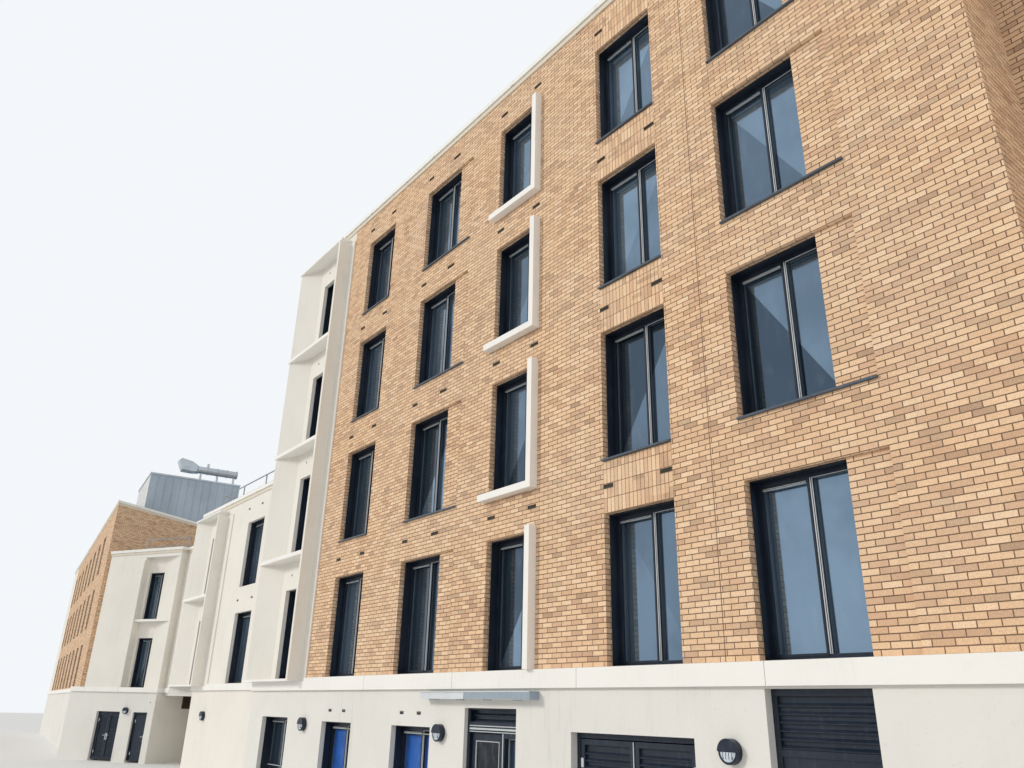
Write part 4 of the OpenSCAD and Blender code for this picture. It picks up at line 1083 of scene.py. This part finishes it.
def canopyTrim():
    trim = Piece()
    out, z0, z1 = canopy["out"], canopy["foot"], canopy["head"]
    edge, under = out + canopy["endOut"], z1 - canopy["cap"]
    split, end, right, seam = canopy["split"], canopy["end"], canopy["right"], canopy["seam"]
    # The front's right part, the seam, the end and the brackets are blue-grey, painted shade for
    # the canopy's shaded right end; the cap stays pale
    trim.block(front, split, end, out, out + canopy["panelOut"], z0 + canopy["panelFoot"],
               under, 1)
    trim.block(front, end, right, out, edge, z0, z1, 1)
    trim.block(front, right, right + canopy["endOut"], 0, edge, z0, z1, 1)
    trim.block(front, canopy["left"], right, out, out + canopy["capOut"], under, z1, 0)
    trim.block(front, split - seam, split + seam, out, edge, z0, under, 1)
    for k in range(canopy["brackets"]):
        u = canopy["left"] + canopy["bracketFirst"] + k * canopy["bracketPitch"]
        trim.block(front, u, u + canopy["bracketWide"], 0, out, z0 - canopy["bracketHigh"],
                   z0, 1)
    trim.build("canopyTrim", ["canopyPale", "canopyPaintedShade"], "white_metal")


# Roof plant, duct and guard rails

plant = {"x0": 9630, "x1": 12430, "y0": 940, "y1": 3680, "foot": 6040, "top": 7950,
         "pitch": 232, "seamWide": 7, "seamOut": 14, "roofSeams": 12,
         "capHigh": 46, "capOut": 12, "capFace": 20, "capUp": 6,
         "panels": 4, "panelEnd": 30, "panelGap": 4, "panelOut": 8, "panelFoot": 260,
         "panelHead": 70}


def plantRoom():
    sheet = Piece()
    x0, x1, y0, y1 = plant["x0"], plant["x1"], plant["y0"], plant["y1"]
    foot, top, seam, out = plant["foot"], plant["top"], plant["seamWide"], plant["seamOut"]
    wide, cap = x1 - x0, plant["capOut"]
    sides = ((far.inner(x0, -y0, 0), wide), (far.inner(x1, -y0, 90), y1 - y0),
             (far.inner(x1, -y1, 180), wide), (far.inner(x0, -y1, -90), y1 - y0))
    for wall, length in sides:
        count = round(length / plant["pitch"])
        for k in range(1, count):
            u = length * k / count
            sheet.block(wall, u, u + seam, 0, out, foot, top - plant["capHigh"], 0)
        sheet.block(wall, -cap, length + cap, 0, plant["capFace"], top - plant["capHigh"],
                    top + plant["capUp"], 1)
    roof = far.inner(x0, -y0, 0)
    # Pale panels on the front face are painted light, making it as bright as a sunlit face beside
    # the blue-grey sides
    step, gap = (wide - 2 * plant["panelEnd"]) / plant["panels"], plant["panelGap"]
    for k in range(plant["panels"]):
        u = plant["panelEnd"] + k * step
        sheet.block(roof, u + gap, u + step - gap, 0, plant["panelOut"],
                    foot + plant["panelFoot"], top - plant["panelHead"], 2)
    for k in range(1, plant["roofSeams"]):
        u = wide * k / plant["roofSeams"]
        sheet.block(roof, u, u + seam, -(y1 - y0), 0, top, top + out, 0)
    sheet.build("plantRoomSeams", ["plantSheet", "ductSilver", "whiteTrimAndPaintedLight"], "grey_metal")


duct = {"u": 12312, "y0": 2260, "run": 1302, "z": 8288, "radius": 0.118, "sides": 24,
        "bands": 5, "endGap": 40, "bandWide": 16, "bandOut": 0.020,
        "collarWide": 34, "collarOut": 0.026}


def ductBands():
    hoops = Piece()

    def hoop(y, wide, out, look):
        ends = [far.at(duct["u"], -y - part, duct["z"]) for part in (0, wide)]
        hoops.pipe(*ends, duct["radius"] + out, look, duct["sides"])

    step = (duct["run"] - 2 * duct["endGap"]) / (duct["bands"] - 1)
    for k in range(duct["bands"]):
        hoop(duct["y0"] + duct["endGap"] + k * step, duct["bandWide"], duct["bandOut"], 0)
    hoop(duct["y0"], duct["collarWide"], duct["collarOut"], 1)
    hoops.build("ductBands", ["ductSilver", "plantSheet"], "grey_metal")


rails = {"deck": 4500, "heights": (180, 360), "back": -810, "side": -2210, "radius": 0.008,
         "left": -6585, "right": -2285, "wing": (450, 1840), "wingBack": -600,
         "posts": (-6585, -5151, -3718, -2285), "footHalf": 26, "footHigh": 8}


def railBars():
    bars = Piece()
    left, right, y = rails["left"], rails["right"], rails["back"]
    for high in rails["heights"]:
        z = rails["deck"] + high
        bars.pipe(front.at(left, y, z), front.at(right, y, z), rails["radius"])
        bars.pipe(front.at(left, rails["side"], z), front.at(left, y, z), rails["radius"])
        bars.pipe(*(wing.at(u, rails["wingBack"], z) for u in rails["wing"]), rails["radius"])
    half = rails["footHalf"]
    for u in rails["posts"]:
        bars.block(front, u - half, u + half, y - half, y + half, rails["deck"],
                   rails["deck"] + rails["footHigh"])
    bars.build("railBars", ["railMetal"], "grey_metal")


def makeFloor():
    mesh = bpy.data.meshes.new("studioFloor")
    h = studio["floorHalf"]
    mesh.from_pydata([(-h, -h, 0), (h, -h, 0), (h, h, 0), (-h, h, 0)], [], [(0, 1, 2, 3)])
    finish, tree, skin = newFinish("studioFloor", Roughness=studio["floorRough"])
    skin.inputs["Base Color"].default_value = studio["floorTone"] + (1.0,)
    mesh.materials.append(finish)
    floor = bpy.data.objects.new("studioFloor", mesh)
    bpy.context.collection.objects.link(floor)


# Pale to the eye and in reflections, and plain soft light for the surfaces
def makeBackdrop():
    world = bpy.data.worlds.new("studio")
    bpy.context.scene.world = world
    world.use_nodes = True
    tree = world.node_tree
    tree.nodes.clear()
    path = put(tree, "LightPath").outputs
    mirrored = calc(tree, "MAXIMUM", path["Is Glossy Ray"], path["Is Transmission Ray"])
    seen = calc(tree, "MAXIMUM", path["Is Camera Ray"], mirrored)
    ambient = put(tree, "Background",
                  {"Color": (1.0, 1.0, 1.0, 1.0), "Strength": studio["ambient"]})
    backdrop = put(tree, "Background", {"Color": studio["backTone"] + (1.0,), "Strength": 1.0})
    both = put(tree, "MixShader", {0: seen, 1: ambient.outputs[0], 2: backdrop.outputs[0]})
    put(tree, "OutputWorld", {0: both.outputs[0]})


makeCamera()
makeLamp("key")
makeLamp("fill")
makeFloor()
makeBackdrop()
finishNodes()
print("studio and CAD finishes set")
frontBricks()
soldierPanels()
print("bricks laid")
windowTrim()
groundWindows()
wallVents()
bandJoints()
copingStraps()
lightLenses()
entranceTrim()
doorTrim()
canopyTrim()
print("walls dressed")
plantRoom()
ductBands()
railBars()
print("roofs dressed")

scene = bpy.context.scene
scene.view_settings.view_transform = "Standard"
